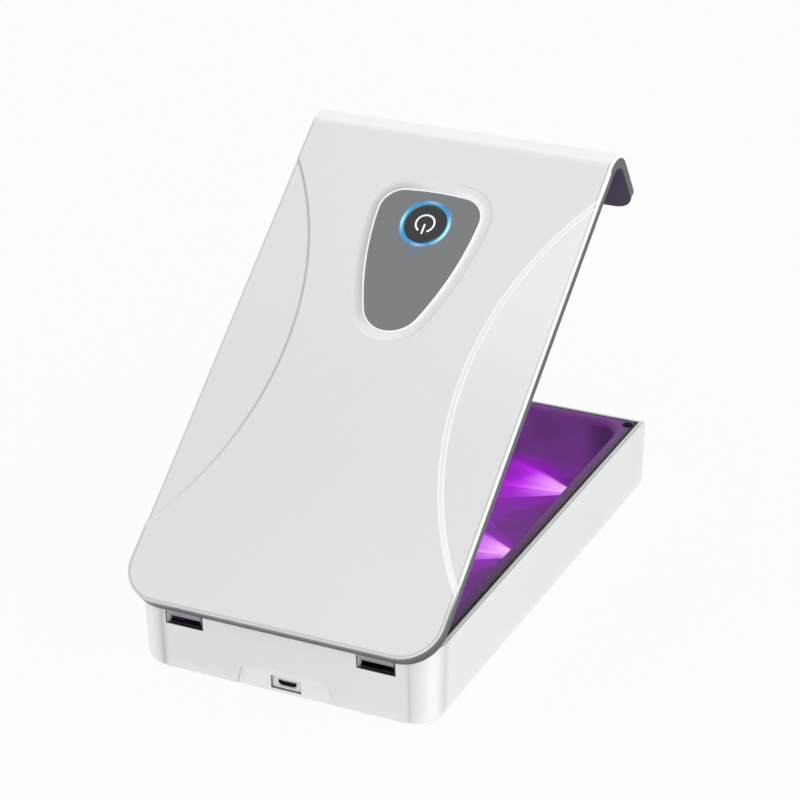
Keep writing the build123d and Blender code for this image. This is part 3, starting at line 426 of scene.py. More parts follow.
def shared_group(inputs, outputs):
    """Turns a function that fills a node group into one that makes it once and hands it out.

    An input without a default is a vector, and each output is a number."""
    def wrap(build):
        def hand_out():
            name = build.__name__.replace("_", " ").capitalize()
            if name in bpy.data.node_groups:
                return bpy.data.node_groups[name]
            tree = bpy.data.node_groups.new(name, "ShaderNodeTree")
            for label, default in inputs.items():
                kind = "NodeSocketVector" if default is None else "NodeSocketFloat"
                socket = tree.interface.new_socket(name=label, in_out="INPUT", socket_type=kind)
                if default is not None:
                    socket.default_value = default
            for label in outputs:
                tree.interface.new_socket(name=label, in_out="OUTPUT",
                                          socket_type="NodeSocketFloat")
            given = tree.nodes.new("NodeGroupInput").outputs
            build(tree, given, tree.nodes.new("NodeGroupOutput"))
            return tree
        return hand_out
    return wrap


def use(tree, group, values):
    """Adds a node group. Returns its outputs."""
    return add(tree, "ShaderNodeGroup", values, node_tree=group)


# ---- shared effects
@shared_group({"Vector": None, "Scale": 2500.0, "Strength": 0.3, "Tone": 0.03},
              ("Height", "Tone", "Gloss"))
def moulded_grain(tree, given, result):
    """Fine spark-eroded grain with a slow change of tone, as on injection mouldings."""
    fine = noise(tree, given["Vector"], given["Scale"], 3.0)
    slow = noise(tree, given["Vector"], 22.0, 2.0)
    drift = calc(tree, "SUBTRACT", slow, 0.5)
    wire(tree, result, Height=product(tree, fine, given["Strength"]),
         Tone=calc(tree, "MULTIPLY_ADD", drift, given["Tone"], 1.0),
         Gloss=product(tree, drift, 0.08))


@shared_group({"Vector": None, "Normal": None, "Amount": 0.1}, ("Mask",))
def settled_dust(tree, given, result):
    """Sparse specks that lie on faces which look up."""
    specks = add(tree, "ShaderNodeTexVoronoi", {"Vector": given["Vector"], "Scale": 900.0})
    dot = between(tree, specks["Distance"], 0.16, 0.05)
    patch = between(tree, noise(tree, given["Vector"], 45.0, 2.0), 0.5, 0.7)
    lying = between(tree, split(tree, given["Normal"])["Z"], 0.2, 0.9)
    wire(tree, result, Mask=product(tree, dot, patch, lying, given["Amount"]))


@shared_group({"Vector": None, "Foot": None, "Reach": 0.05}, ("Rays", "Half Light", "Core"))
def lamp_fan(tree, given, result):
    """Rays of one lamp as they lie on the floor of the hollow, seen from above."""
    apart = split(tree, vector_calc(tree, "SUBTRACT", given["Vector"], given["Foot"]))
    turn = calc(tree, "ARCTAN2", apart["Y"], apart["X"])
    share = calc(tree, "MULTIPLY_ADD", turn, 1 / pi, 0.5)

    def rays(stops):
        """Brightness from (degrees from straight across, level) pairs."""
        marks = [(0.5 + angle / 180, (level,) * 3) for angle, level in stops]
        return ramp(tree, share, marks)

    fan = rays([(-33, 0.0), (-30, 0.45), (-28, 0.5), (-27, 1.0), (-8, 0.86), (-7, 0.7), (4, 0.74),
                (5, 0.95), (9.5, 0.9), (10.5, 0.45), (20, 0.5), (21, 0.35), (29, 0.4), (31, 0.0)])
    soft = rays([(-80, 0.0), (-60, 0.15), (-46, 0.25), (-44, 0.8), (-34, 0.9), (30, 0.95),
                 (32, 0.75), (52, 0.7), (56, 0.2), (75, 0.0)])
    away = measured(tree, "LENGTH", flat_vector(tree, apart["X"], apart["Y"]))
    along = calc(tree, "DIVIDE", away, given["Reach"])
    wire(tree, result, Rays=product(tree, fan, between(tree, along, 1.0, 0.1)),
         Half_Light=product(tree, soft, between(tree, along, 1.5, 0.3)),
         Core=product(tree, fan, between(tree, along, 0.55, 0.05)))


def corner_between(first, second, radius):
    """Middle of the arc that rounds the corner where two circles cross, at the lip side."""
    start = Vector(first[:2])
    run = Vector(second[:2]) - start
    near = first[2] - radius
    far = second[2] - radius
    along = (near ** 2 - far ** 2 + run.length_squared) / (2 * run.length)
    aside = (near ** 2 - along ** 2) ** 0.5
    ahead = run.normalized()
    middle = start + ahead * along + Vector((ahead.y, -ahead.x)) * aside
    return middle.x, middle.y


@shared_group({"Vector": None}, ("Distance",))
def plate_edge(tree, given, result):
    """Distance outwards from the edge of the control plate, in flat button coordinates."""
    axes = split(tree, given["Vector"])
    across = size_of(tree, axes["X"])

    def beyond(x, y, radius):
        away = flat_vector(tree, calc(tree, "SUBTRACT", across, x),
                           calc(tree, "SUBTRACT", axes["Y"], y))
        return calc(tree, "SUBTRACT", measured(tree, "LENGTH", away), radius)

    def turned_past(x, y, towards):
        """1 on the left of the ray that leaves (x, y) in a direction."""
        right = product(tree, calc(tree, "SUBTRACT", across, x), towards[1])
        ahead = product(tree, calc(tree, "SUBTRACT", axes["Y"], y), towards[0])
        return above(tree, calc(tree, "SUBTRACT", ahead, right), 0.0)

    distance = highest(tree, beyond(*PLATE_FRONT), beyond(*PLATE_SIDE))
    tip_y = PLATE_SIDE[1] + ((PLATE_SIDE[2] - PLATE_TIP) ** 2 - PLATE_SIDE[0] ** 2) ** 0.5
    at_tip = turned_past(0.0, tip_y, (-PLATE_SIDE[0], tip_y - PLATE_SIDE[1]))
    corner = corner_between(PLATE_SIDE, PLATE_FRONT, PLATE_CORNER)
    past_front = turned_past(*corner, (corner[0] - PLATE_FRONT[0], corner[1] - PLATE_FRONT[1]))
    past_side = turned_past(*corner, (corner[0] - PLATE_SIDE[0], corner[1] - PLATE_SIDE[1]))
    at_corner = calc(tree, "SUBTRACT", past_front, past_side)
    for inside, x, y, radius in ((at_tip, 0.0, tip_y, PLATE_TIP),
                                 (at_corner, *corner, PLATE_CORNER)):
        change = calc(tree, "SUBTRACT", beyond(x, y, radius), distance)
        inside = highest(tree, inside, 0.0)
        distance = calc(tree, "MULTIPLY_ADD", inside, change, distance)
    wire(tree, result, Distance=distance)


@shared_group({"Vector": None, "Start": None, "Run": None, "Width": 0.5 * MM}, ("Mask",))
def light_streak(tree, given, result):
    """Thin ray between two points that fades towards its end."""
    run = given["Run"]
    offset = vector_calc(tree, "SUBTRACT", given["Vector"], given["Start"])
    share = calc(tree, "DIVIDE", measured(tree, "DOT_PRODUCT", offset, run),
                 measured(tree, "DOT_PRODUCT", run, run))
    share = calc(tree, "MINIMUM", highest(tree, share, 0.0), 1.0)
    nearest = add(tree, "ShaderNodeVectorMath", {0: run, "Scale": share},
                  operation="SCALE")["Vector"]
    gap = measured(tree, "DISTANCE", offset, nearest)
    thin = between(tree, calc(tree, "DIVIDE", gap, given["Width"]), 1.0, 0.2)
    wire(tree, result, Mask=product(tree, thin, between(tree, share, 1.1, 0.1)))


# ---- finishes
def moulded(name, colour, roughness, grain=0.3, scale=2500.0, tone=0.05, dust=0.15,
            bump=0.00002):
    """Moulded plastic or rubber: slow tone, fine grain, a little dust.

    Returns the material, its tree, its shader and the object coordinates."""
    material = bpy.data.materials.new(name)
    material.use_nodes = True
    tree = material.node_tree
    shader = next(node for node in tree.nodes if node.type == "BSDF_PRINCIPLED")
    place = add(tree, "ShaderNodeTexCoord")["Object"]
    skin = use(tree, moulded_grain(), {"Vector": place, "Scale": scale, "Strength": grain,
                                       "Tone": tone})
    lying = use(tree, settled_dust(), {"Vector": place, "Normal": surface_normal(tree),
                                       "Amount": dust})["Mask"]
    ground = add(tree, "ShaderNodeVectorMath", {0: tuple(colour), "Scale": skin["Tone"]},
                 operation="SCALE", name="Ground")["Vector"]
    uneven = add(tree, "ShaderNodeBump", {"Height": skin["Height"], "Strength": GRAIN_RELIEF,
                                          "Distance": bump})["Normal"]
    wire(tree, shader, Base_Color=blended(tree, lying, ground, DUST), Normal=uneven,
         Roughness=calc(tree, "ADD", skin["Gloss"], roughness))
    return material, tree, shader, place


def set_tone(tree, colour):
    """Gives a moulded finish a painted ground instead of its one colour."""
    fill(tree, tree.nodes["Ground"].inputs[0], colour)


def glowing(name, colour, roughness, light, strength, **looks):
    """Moulded finish that gives off an even light."""
    material, tree, shader, _ = moulded(name, colour, roughness, **looks)
    wire(tree, shader, Emission_Color=light, Emission_Strength=strength)
    return material


def on_lid(tree, place, middle):
    """Object coordinates turned flat to the shut lid, seen from a point on it."""
    return add(tree, "ShaderNodeMapping", {"Vector": place, "Location": on_open_lid(middle),
                                           "Rotation": (REST_TURN, 0.0, 0.0)},
               vector_type="TEXTURE")["Vector"]


def dress(material, *names):
    """Gives a finish to nodes of the model."""
    for name in names:
        for slot in frame["nodes"][name].material_slots:
            slot.material = material


# ---- operators
class UVBOX_OT_housing(bpy.types.Operator):
    """Polished white skins, rubber feet and the bumpers"""
    bl_idname = "uvbox.housing"
    bl_label = "Housing"

    def execute(self, context):
        given = context.scene.uv_box.housing
        dress(tub_finish(given), "base_shell")
        dress(lid_finish(given), "lid_skin")
        rubber, tree, shader, _ = moulded("Black rubber", given.rubber, 0.8, grain=0.8,
                                          scale=1800.0, dust=0.1, bump=0.00005)
        wire(tree, shader, Specular_IOR_Level=0.1)
        for side in SIDES:
            dress(rubber, "foot_front_" + side, "foot_rear_" + side, "rim_bumper_" + side)
        return {"FINISHED"}


def tub_finish(given):
    """White tub: painted reflection bands on the round rear corners, painted shade in the slots
    and socket pocket, painted floor light low on the walls.
    """
    material, tree, shader, place = moulded("Polished white", given.white, given.roughness,
                                            grain=given.grain, tone=0.02, dust=0.0)
    axes = split(tree, place)
    facing = split(tree, surface_normal(tree))
    # Painted light from the floor: lighter towards the foot of the walls
    low = between(tree, axes["Z"], given.fade_height, 0.0)
    tone = blended(tree, low, given.white, given.floor_lit_white)
    dark, bright = corner_bands(tree, axes, facing)
    tone = blended(tree, dark, tone, given.shade)
    tone = blended(tree, bright, tone, WHITE)
    set_tone(tree, rear_openings(tree, axes, facing, tone, given))
    # The painted reflection bands also glow faintly
    wire(tree, shader, Emission_Color=blended(tree, bright, BLACK, WHITE),
         Emission_Strength=given.corner_shine, **POLISH)
    return material


def corner_bands(tree, axes, facing):
    """Dark and bright reflections on the round rear corners of the tub."""
    behind = calc(tree, "SUBTRACT", axes["Y"], TUB_CORNER[1])
    beside = calc(tree, "SUBTRACT", size_of(tree, axes["X"]), TUB_CORNER[0])
    turn = calc(tree, "ARCTAN2", beside, behind)
    share = between(tree, turn, radians(CORNER_START), radians(CORNER_END), shape="LINEAR")
    right = below(tree, axes["X"], 0.0)
    outer = product(tree, above(tree, axes["Y"], TUB_CORNER[1] - TUB_CORNER_LEAD),
                    below(tree, size_of(tree, facing["Z"]), 0.5))

    def bands(*stops):
        """Strength from (degrees from the rear, level) pairs."""
        return ramp(tree, share, [((angle - CORNER_START) / (CORNER_END - CORNER_START),
                                   (level,) * 3) for angle, level in stops])

    right_dark = bands((-15, 0), (5, 0.1), (12, 0.4), (15, 0.85), (19, 0.5), (30, 0.2),
                       (38, 0), (72, 0), (82, 0.4), (87, 0.6), (94, 0.3), (108, 0))
    left_dark = bands((-14, 0), (-6, 0.3), (-1, 0.95), (2, 0.95), (5, 0.4), (11, 0))
    right_bright = bands((38, 0), (50, 0.5), (62, 0.5), (74, 0))
    left_bright = bands((10, 0), (24, 0.8), (60, 0.8), (90, 0))
    dark = product(tree, outer, blended(tree, right, left_dark, right_dark))
    bright = product(tree, outer, blended(tree, right, left_bright, right_bright))
    return dark, bright


def rear_openings(tree, axes, facing, tone, given):
    """Painted light and shade on the socket's bay and pocket, in the hinge slots and on the rim's
    step.
    """
    sideways = size_of(tree, facing["X"])
    # Painted light on the face of the socket's bay, painted shade on its slanted sides
    tone = blended(tree, product(tree, in_box(tree, axes, BAY_FACE), 0.6), tone, WHITE)
    bay_side = product(tree, in_box(tree, axes, BAY_SIDES), above(tree, sideways, 0.3), 0.9)
    tone = blended(tree, bay_side, tone, given.shade)
    # Painted shade on the ledges and sides of the socket pocket
    pocket = product(tree, in_box(tree, axes, POCKET), below(tree, facing["Y"], 0.5))
    tone = blended(tree, pocket, tone, given.gap)
    folded = {"X": size_of(tree, axes["X"]), "Y": axes["Y"], "Z": axes["Z"]}
    # Painted shade in the hinge slots: near black deep in, the ledge tone on the ledge
    slot = product(tree, in_box(tree, folded, SLOT), below(tree, sideways, 0.5))
    ledge = band(tree, axes["Y"], *SLOT_LEDGE)
    tone = blended(tree, slot, tone, blended(tree, ledge, given.hole, given.gap))
    # Painted shade on the step below the rim
    rim = product(tree, band(tree, axes["Z"], *RIM_STEP), above(tree, facing["Z"], 0.5), 0.9)
    return blended(tree, rim, tone, given.shade)


def lid_finish(given):
    """White skin of the lid: painted shade and highlights along the two curves, painted shading
    of the plate's hollow, painted highlights on the bend and edges.
    """
    material, tree, shader, place = moulded("Polished lid", given.lid, given.roughness,
                                            grain=given.grain, tone=0.02, dust=0.0)
    flat = on_lid(tree, place, BUTTON_SHUT)
    axes = split(tree, flat)
    left = above(tree, axes["X"], 0.0)
    right = reversed_mask(tree, left)
    at_side = step(tree, axes["Y"], LID_SIDES)
    at_rear = reversed_mask(tree, at_side)
    lit_half = step(tree, axes["X"], LIT_HALF)
    edge = use(tree, plate_edge(), {"Vector": flat})["Distance"]
    curves = on_lid(tree, place, (0.0, FLANK[1], BUTTON_SHUT.z))
    flank = flank_distance(tree, curves)
    border = lid_border(tree, curves)

    # Painted shade: darker towards the rear
    tone = blended(tree, step(tree, axes["Y"], LID_FADE), given.lid, given.lid_rear)
    # Painted shade: flank line, the plate's hollow and its rim, lines along the border
    dark = highest(
        tree,
        product(tree, band(tree, flank, *FLANK_SHADOW), left),
        product(tree, step(tree, edge, DISH_SHADOW), step(tree, axes["X"], DARK_HALF, 0.12, 0.9)),
        product(tree, band(tree, edge, *DISH_RIM), lit_half, 0.35),
        product(tree, band(tree, border, *LID_LINE), 0.8),
        product(tree, step(tree, border, REAR_LINE), at_rear, 0.6))
    tone = blended(tree, dark, tone, given.shade)

    first, second = (band(tree, flank, *line) for line in FLANK_LINES)
    fold = measured(tree, "DOT_PRODUCT", surface_normal(tree), LID_FORWARD)
    # Painted highlights: flank lines, the hollow, the side edges, the bend and the flank face
    bright = highest(
        tree,
        product(tree, calc(tree, "ADD", first, second), right, 0.7),
        product(tree, step(tree, edge, DISH_LIGHT), lit_half, 0.5),
        product(tree, step(tree, border, SIDE_HIGHLIGHT), at_side, 0.85),
        product(tree, between(tree, fold, *BEND_RISE, 0.0, 0.85),
                between(tree, fold, *BEND_FALL)),
        product(tree, step(tree, flank, FLANK_FACE), right,
                step(tree, axes["Y"], FLANK_FADE, 0.0, 0.3)))
    tone = blended(tree, bright, tone, WHITE)

    foot = highest(
        tree,
        product(tree, step(tree, axes["Z"], REAR_FOOT), at_rear),
        product(tree, step(tree, axes["Z"], SIDE_FOOT), step(tree, border, SIDE_FACE, 0.0, 0.7),
                step(tree, axes["Y"], BEHIND_BEND)))
    set_tone(tree, blended(tree, foot, tone, given.foot))
    # The painted highlights glow faintly, except on the dark foot
    glow = blended(tree, foot, blended(tree, bright, BLACK, WHITE), BLACK)
    wire(tree, shader, Emission_Color=glow, Emission_Strength=given.shine, **POLISH)
    return material


def lid_border(tree, flat):
    """Distance inwards from the sides and the rear end of the lid."""
    axes = split(tree, flat)
    across = calc(tree, "SUBTRACT", size_of(tree, axes["X"]), LID_HALF_WIDTH - LID_CORNER)
    along = calc(tree, "SUBTRACT", axes["Y"], LID_REAR - LID_CORNER - FLANK[1])
    past = flat_vector(tree, highest(tree, across, 0.0), highest(tree, along, 0.0))
    straight = calc(tree, "MINIMUM", highest(tree, across, along), 0.0)
    outwards = calc(tree, "ADD", measured(tree, "LENGTH", past), straight)
    return calc(tree, "SUBTRACT", LID_CORNER, outwards)


def flank_distance(tree, curves):
    """Distance inwards from the curve where the nearer flank begins, below 0 on the flank."""
    axes = split(tree, curves)
    across = calc(tree, "SUBTRACT", FLANK[0], size_of(tree, axes["X"]))
    away = measured(tree, "LENGTH", flat_vector(tree, across, axes["Y"]))
    return calc(tree, "SUBTRACT", away, FLANK[2] - FLANK_OFFSET)


class UVBOX_OT_tray(bpy.types.Operator):
    """Grey tray with the light of the lamps painted on its floor, and the inner shell of the lid
    with painted light on its hinge arms
    """
    bl_idname = "uvbox.tray"
    bl_label = "Tray and liner"

    def execute(self, context):
        given = context.scene.uv_box.tray
        dress(tray_finish(given, context.scene.uv_box.glow), "inner_tray")
        liner, tree, _, place = moulded("Satin liner grey", given.liner, given.roughness,
                                        **SATIN)
        axes = split(tree, on_lid(tree, place, BUTTON_SHUT))
        # Painted light on the hinge arms, lighter than the rest of the liner
        arm = product(tree, step(tree, axes["Z"], ARM_TOP), step(tree, axes["Y"], ARM_FRONT))
        set_tone(tree, blended(tree, arm, given.liner, given.arm))
        dress(liner, "lid_liner")
        return {"FINISHED"}


def tray_finish(given, glow):
    """Grey tray: light of the lamps painted in its hollow, painted lamp light on the rim, painted
    shadow in the dark outer gap.
    """
    material, tree, shader, place = moulded("Satin tray grey", given.grey, given.roughness,
                                            **SATIN)
    axes = split(tree, place)
    beside = size_of(tree, axes["X"])
    normal = surface_normal(tree)
    inwards = vector_calc(tree, "SUBTRACT", LIGHT_MIDDLE, place)
    inside = above(tree, measured(tree, "DOT_PRODUCT", normal, inwards), 0.0)
    deep = product(tree, step(tree, axes["Z"], HOLLOW_TOP), inside)
    light = hollow_light(tree, place, axes, beside, normal, glow)
    wire(tree, shader, Specular_IOR_Level=0.12, Emission_Strength=glow.strength,
         Emission_Color=blended(tree, deep, BLACK, light))

    # Painted lamp light on the round inner edge, the front bar and the inner side of the deck
    near_edge = highest(
        tree,
        product(tree, step(tree, axes["Z"], INNER_EDGE), inside),
        product(tree, step(tree, axes["Y"], FRONT_BAR), step(tree, beside, BAR_SIDES)),
        step(tree, beside, DECK_EDGE))
    ground = blended(tree, near_edge, given.grey, given.tint)
    # Painted shadow at the bottom of the gaps between tray and tub
    gap = highest(tree, step(tree, beside, SIDE_GAP), step(tree, axes["Y"], FRONT_GAP))
    ground = blended(tree, gap, ground, GAP_SHADOW)
    set_tone(tree, blended(tree, deep, ground, BLACK))
    return material


def hollow_light(tree, place, axes, beside, normal, glow):
    """Colour of the light in the hollow: fans on its floor, deep light on its walls."""
    ahead = step(tree, axes["Y"], FRONT_END)
    corner = product(tree, step(tree, beside, DARK_CORNER), ahead)
    wall = blended(tree, corner, glow.deep, glow.corner)
    light = blended(tree, ahead, glow.dim, glow.deep)
    light = blended(tree, step(tree, beside, NEAR_WALL), light, glow.violet)
    folded = flat_vector(tree, product(tree, beside, -1.0), axes["Y"])
    for index in range(LAMP_ROW):
        foot = (-glow.fan_x, glow.fan_y + index * glow.pitch, 0.0)
        fan = use(tree, lamp_fan(), {"Vector": folded, "Foot": foot, "Reach": glow.reach})
        light = blended(tree, fan["Half Light"], light, glow.purple)
        light = blended(tree, between(tree, fan["Rays"], 0.0, 0.45), light, glow.magenta)
        light = blended(tree, between(tree, fan["Rays"], 0.35, 0.9), light, glow.bright)
        light = blended(tree, fan["Core"], light, glow.core)
    floor = between(tree, split(tree, normal)["Z"], 0.5, 0.95)
    cloud = between(tree, noise(tree, place, 55.0, 1.0), 0.44, 0.68, 0.0, glow.clouds)
    return blended(tree, cloud, blended(tree, floor, wall, light), glow.corner)


class UVBOX_OT_lamps(bpy.types.Operator):
    """Windows, lamps, their boards and leads"""
    bl_idname = "uvbox.lamps"
    bl_label = "Lamps"

    def execute(self, context):
        glow = context.scene.uv_box.glow
        window, tree, shader, _ = moulded("Lamp window", srgb(214, 190, 240), 0.08, grain=0.1,
                                          dust=0.2)
        wire(tree, shader, Emission_Color=glow.core, Emission_Strength=0.35,
             Transmission_Weight=0.6, IOR=1.46)
        lamp, tree, shader, place = moulded("Lamp face", srgb(232, 214, 240), 0.3, grain=0.4)
        cells = add(tree, "ShaderNodeTexBrick", {"Vector": place, "Scale": 900.0,
                                                 "Color1": glow.core, "Color2": glow.bright,
                                                 "Mortar": glow.purple})["Color"]
        wire(tree, shader, Emission_Color=cells, Emission_Strength=1.0)
        board, *_ = moulded("White solder mask", srgb(236, 236, 230), 0.35, grain=0.3)
        lead, *_ = moulded("Lead sheath", srgb(150, 24, 26), 0.5, grain=0.3)
        for side in SIDES:
            dress(window, "lamp_windows_" + side)
            dress(lamp, "lamp_leds_" + side)
            dress(board, "lamp_board_" + side)
            dress(lead, "lamp_lead_" + side)
        return {"FINISHED"}


class UVBOX_OT_control(bpy.types.Operator):
    """Control plate, lit ring, button, symbol and the bead round the plate"""
    bl_idname = "uvbox.control"
    bl_label = "Control plate"

    def execute(self, context):
        given = context.scene.uv_box.control
        dress(plate_finish(given), "control_plate")
        add_bead(given.bead)
        dress(ring_finish(given), "light_ring")
        disc, *_ = moulded("Button grey", given.disc, 0.35, grain=0.3)
        dress(disc, "power_button")
        dress(glowing("Symbol white", given.symbol, 0.3, given.symbol, 0.35, grain=0.1,
                      dust=0.0), "power_symbol")
        return {"FINISHED"}


def plate_finish(given):
    """Grey plate with the glow of the ring and two thin rays on it."""
    material, tree, shader, place = moulded("Plate grey", given.plate, 0.3, grain=0.3,
                                            tone=0.03, dust=0.05)
    around = on_lid(tree, place, BUTTON_SHUT)
    away = measured(tree, "LENGTH", around)
    sideways = size_of(tree, split(tree, vector_calc(tree, "NORMALIZE", around))["X"])
    glow = product(tree, between(tree, away, RING_EDGE + given.halo, RING_EDGE),
                   between(tree, sideways, 0.5, 0.9, 0.25, 1.0))
    light = blended(tree, glow, BLACK, given.blue)
    lit = product(tree, glow, 0.5)
    for start, run in STREAKS:
        ray = use(tree, light_streak(), {"Vector": around,
                                         "Start": (start[0] * MM, start[1] * MM, 0.0),
                                         "Run": (run[0] * MM, run[1] * MM, 0.0)})["Mask"]
        light = blended(tree, ray, light, given.streak)
        lit = highest(tree, lit, ray)
    set_tone(tree, blended(tree, product(tree, lit, 0.8), given.plate, BLACK))
    wire(tree, shader, Emission_Color=light, Emission_Strength=1.0)
    return material


def ring_finish(given):
    """Lit ring: blue, brighter at the sides, front and rear, dim at its inner edge."""
    material, tree, shader, place = moulded("Lit ring", srgb(14, 26, 36), 0.2, grain=0.1,
                                            dust=0.0)
    flat = on_lid(tree, place, BUTTON_SHUT)
    axes = split(tree, flat)
    turn = calc(tree, "ARCTAN2", axes["Y"], axes["X"])
    share = calc(tree, "MULTIPLY_ADD", turn, 0.5 / pi, 0.5)
    light = ramp(tree, share, [(0.0, given.cyan), (0.09, given.blue), (0.18, given.blue),
                               (0.25, given.lilac), (0.32, given.blue), (0.4, given.blue),
                               (0.5, given.cyan), (0.6, given.blue), (0.69, given.blue),
                               (0.75, given.lilac), (0.82, given.blue), (0.92, given.cyan)])
    outer = step(tree, measured(tree, "LENGTH", flat), RING_FACE)
    wire(tree, shader, Emission_Color=blended(tree, outer, given.inner, light),
         Emission_Strength=1.0)
    return material


def bead_tree():
    """Geometry Nodes that lay a round bead along the sharp outer edges of a piece.

    Returns the tree and the identifier of each named input."""
    tree = bpy.data.node_groups.new("Bead along an edge", "GeometryNodeTree")
    sockets = {"Geometry": "NodeSocketGeometry", "Radius": "NodeSocketFloat",
               "Middle": "NodeSocketVector", "Up": "NodeSocketVector",
               "Clear": "NodeSocketFloat", "Material": "NodeSocketMaterial"}
    keys = {name: tree.interface.new_socket(name=name, in_out="INPUT",
                                            socket_type=kind).identifier
            for name, kind in sockets.items()}
    tree.interface.new_socket(name="Geometry", in_out="OUTPUT", socket_type="NodeSocketGeometry")
    given = add(tree, "NodeGroupInput")
    position = add(tree, "GeometryNodeInputPosition")["Position"]
    offset = vector_calc(tree, "SUBTRACT", position, given["Middle"])
    bend = add(tree, "GeometryNodeInputMeshEdgeAngle")["Unsigned Angle"]
    sharp = above(tree, bend, SHARP_EDGE)
    outside = above(tree, measured(tree, "LENGTH", offset), given["Clear"])
    height = measured(tree, "DOT_PRODUCT", offset, given["Up"])
    upper = above(tree, height, -TOP_DEPTH)
    joined = add(tree, "GeometryNodeMergeByDistance", {"Geometry": given["Geometry"],
                                                       "Distance": WELD})["Geometry"]
    path = add(tree, "GeometryNodeMeshToCurve", {
        "Mesh": joined, "Selection": product(tree, sharp, outside, upper)})["Curve"]
    ring = add(tree, "GeometryNodeCurvePrimitiveCircle", {"Resolution": 10,
                                                          "Radius": given["Radius"]})["Curve"]
    bead = add(tree, "GeometryNodeCurveToMesh", {"Curve": path, "Profile Curve": ring})["Mesh"]
    real = add(tree, "GeometryNodeRealizeInstances", {"Geometry": bead})["Geometry"]
    done = add(tree, "GeometryNodeSetMaterial", {"Geometry": real,
                                                 "Material": given["Material"]})["Geometry"]
    wire(tree, tree.nodes.new("NodeGroupOutput"), Geometry=done)
    return tree, keys


def add_bead(radius):
    """Thin bright bead that follows the upper edge of the control plate, with a faint glow as its
    painted highlight.
    """
    pale = srgb(250, 250, 251)
    # The faint glow of the bead is a painted highlight
    gloss = glowing("Bright bead", pale, 0.12, pale, 0.2, grain=0.1, dust=0.0)
    plate = frame["nodes"]["control_plate"]
    base = plate.data.copy()
    base.transform(plate.matrix_world)
    rough = bpy.data.objects.new("plate_bead_source", base)
    bpy.context.scene.collection.objects.link(rough)
    tree, keys = bead_tree()
    modifier = rough.modifiers.new("Bead", "NODES")
    modifier.node_group = tree
    for name, value in (("Radius", radius), ("Middle", on_open_lid(BUTTON_SHUT)),
                        ("Up", LID_UP), ("Clear", BUTTON_OPENING), ("Material", gloss)):
        modifier[keys[name]] = value
    mesh = bpy.data.meshes.new_from_object(
        rough.evaluated_get(bpy.context.evaluated_depsgraph_get()))
    if not mesh.polygons:
        raise RuntimeError("The edge of the control plate was not found.")
    bpy.data.objects.remove(rough)
    bead = bpy.data.objects.new("plate_bead", mesh)
    bpy.context.scene.collection.objects.link(bead)
    mesh.shade_smooth()
    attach(bead, "lid")


class UVBOX_OT_workings(bpy.types.Operator):
    """Boards, chips, plugs, screws, pins and the power socket"""
    bl_idname = "uvbox.workings"
    bl_label = "Workings"

    def execute(self, context):
        for name, colour, roughness, looks, nodes in (
                ("Green solder mask", (24, 92, 52), 0.3, {"grain": 0.4, "tone": 0.25},
                 ("main_board", "button_board")),
                ("Black plastic", (30, 30, 32), 0.45, {"grain": 0.5},
                 ("main_chip", "switch_body")),
                ("Tongue grey", (105, 105, 108), 0.5, {"grain": 0.3}, ("socket_tongue",)),
                ("Cream nylon", (226, 222, 208), 0.4, {"grain": 0.3},
                 ("lead_headers", "switch_plunger")),
                ("Ferrite", (62, 62, 64), 0.6, {"grain": 0.9, "scale": 1400.0},
                 ("boost_coil",))):
            material, *_ = moulded(name, srgb(*colour), roughness, **looks)
            dress(material, *nodes)
        steel, tree, shader, _ = moulded("Plated steel", srgb(196, 196, 198), 0.28, grain=0.3,
                                         tone=0.1)
        wire(tree, shader, Metallic=1.0)
        dress(steel, "base_screws", "board_screws", "socket_shell", "hinge_pin_left",
              "hinge_pin_right")
        dress(glowing("Small blue lamp", srgb(150, 190, 255), 0.3, srgb(90, 150, 255), 0.8,
                      grain=0.2), "ring_leds")
        return {"FINISHED"}


class UVBOX_OT_stage(bpy.types.Operator):
    """Pale floor, even light, lamps and the camera"""
    bl_idname = "uvbox.stage"
    bl_label = "Stage"

    def execute(self, context):
        given = context.scene.uv_box.stage
        make_floor(given)
        make_world(given)
        make_lamps(given)
        make_camera(given)
        context.scene.view_settings.view_transform = "Standard"
        return {"FINISHED"}


def make_floor(given):
    """Pale floor that keeps the shadow of the box and looks nearly white to the camera."""
    half = given.floor / 2
    mesh = bpy.data.meshes.new("floor")
    corners = [(-half, -half, 0.0), (half, -half, 0.0), (half, half, 0.0), (-half, half, 0.0)]
    mesh.from_pydata(corners, [], [(0, 1, 2, 3)])
    floor = bpy.data.objects.new("floor", mesh)
    bpy.context.scene.collection.objects.link(floor)
    material = bpy.data.materials.new("Pale floor")
    material.use_nodes = True
    tree = material.node_tree
    shader = next(node for node in tree.nodes if node.type == "BSDF_PRINCIPLED")
    output = next(node for node in tree.nodes if node.type == "OUTPUT_MATERIAL")
    wire(tree, shader, Base_Color=srgb(250, 250, 251), Roughness=0.9)
    shine = add(tree, "ShaderNodeEmission", {"Color": WHITE, "Strength": 1.0})["Emission"]
    share = product(tree, white_for_view(tree), given.floor_light)
    mixed = add(tree, "ShaderNodeMixShader", {"Fac": share, 1: shader.outputs["BSDF"],
                                              2: shine})["Shader"]
    wire(tree, output, Surface=mixed)
    mesh.materials.append(material)
    floor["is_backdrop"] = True


def white_for_view(tree):
    """1 for rays that see the background straight on, in gloss or through glass."""
    path = add(tree, "ShaderNodeLightPath")
    return highest(tree, path["Is Camera Ray"], path["Is Glossy Ray"],
                   path["Is Transmission Ray"])


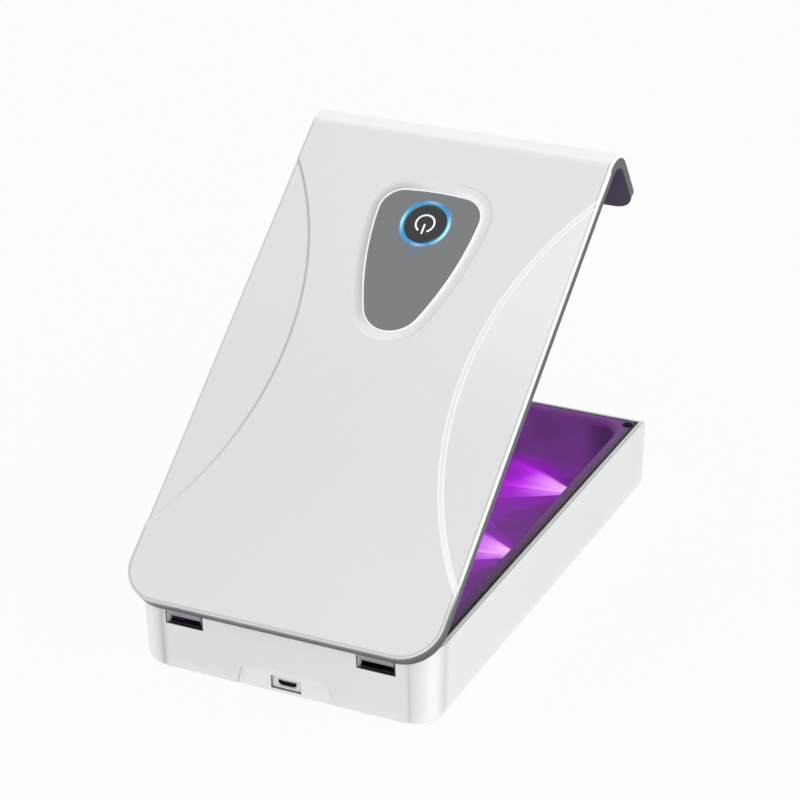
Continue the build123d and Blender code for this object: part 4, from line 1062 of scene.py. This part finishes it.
def make_world(given):
    """White surroundings: even light for the box, plain white for the camera."""
    world = bpy.data.worlds.new("studio")
    bpy.context.scene.world = world
    world.use_nodes = True
    tree = world.node_tree
    background = next(node for node in tree.nodes if node.type == "BACKGROUND")
    strength = between(tree, white_for_view(tree), 0.0, 1.0, given.sky, 1.0, shape="LINEAR")
    wire(tree, background, Color=WHITE, Strength=strength)


def make_lamps(given):
    """Large soft lamps behind the hinge and low at the side."""
    lamps = (("rear", (-0.65, 0.96, 0.3), 0.6, 0.5, given.rear),
             ("side", (-1.2, 0.1, 0.2), 0.9, 0.35, given.side))
    for name, place, width, height, power in lamps:
        data = bpy.data.lights.new(name, "AREA")
        data.shape = "RECTANGLE"
        data.size = width
        data.size_y = height
        data.energy = power
        lamp = bpy.data.objects.new(name, data)
        lamp.location = place
        aim = LAMP_TARGET - Vector(place)
        lamp.rotation_euler = aim.to_track_quat("-Z", "Y").to_euler()
        bpy.context.scene.collection.objects.link(lamp)


def make_camera(given):
    """Camera behind and above the box, on its -X side."""
    data = bpy.data.cameras.new("camera")
    data.lens = given.lens
    data.sensor_width = SENSOR_WIDTH
    camera = bpy.data.objects.new("camera", data)
    turn = (Matrix.Rotation(given.azimuth, 4, "Z")
            @ Matrix.Rotation(pi / 2 - given.elevation, 4, "X")
            @ Matrix.Rotation(given.roll, 4, "Z"))
    back = turn.to_3x3() @ Vector((0.0, 0.0, 1.0))
    camera.matrix_world = Matrix.Translation(CAMERA_TARGET + back * given.distance) @ turn
    bpy.context.scene.collection.objects.link(camera)
    bpy.context.scene.camera = camera


class UVBOX_PT_sidebar(bpy.types.Panel):
    """Lists the steps that finish the box"""
    bl_idname = "UVBOX_PT_sidebar"
    bl_label = "UV box"
    bl_space_type = "VIEW_3D"
    bl_region_type = "UI"
    bl_category = "UV box"

    def draw(self, context):
        for operator in STEPS:
            self.layout.operator(operator.bl_idname)


SETTINGS = (HousingSettings, TraySettings, GlowSettings, ControlSettings, StageSettings,
            UvBoxSettings)
STEPS = (UVBOX_OT_housing, UVBOX_OT_tray, UVBOX_OT_lamps, UVBOX_OT_control, UVBOX_OT_workings,
         UVBOX_OT_stage)
CLASSES = SETTINGS + STEPS + (UVBOX_PT_sidebar,)


def register():
    for made in CLASSES:
        bpy.utils.register_class(made)
    bpy.types.Scene.uv_box = PointerProperty(type=UvBoxSettings)


def unregister():
    del bpy.types.Scene.uv_box
    for made in reversed(CLASSES):
        bpy.utils.unregister_class(made)


def corners():
    """Lowest and highest corner of what is in the scene."""
    return [list(corner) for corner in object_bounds()]


def main():
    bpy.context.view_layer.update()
    register()
    bpy.ops.uvbox.housing()
    bpy.ops.uvbox.tray()
    bpy.ops.uvbox.lamps()
    bpy.ops.uvbox.control()
    bpy.ops.uvbox.workings()
    bpy.ops.uvbox.stage()


if __name__ == "__main__":
    main()
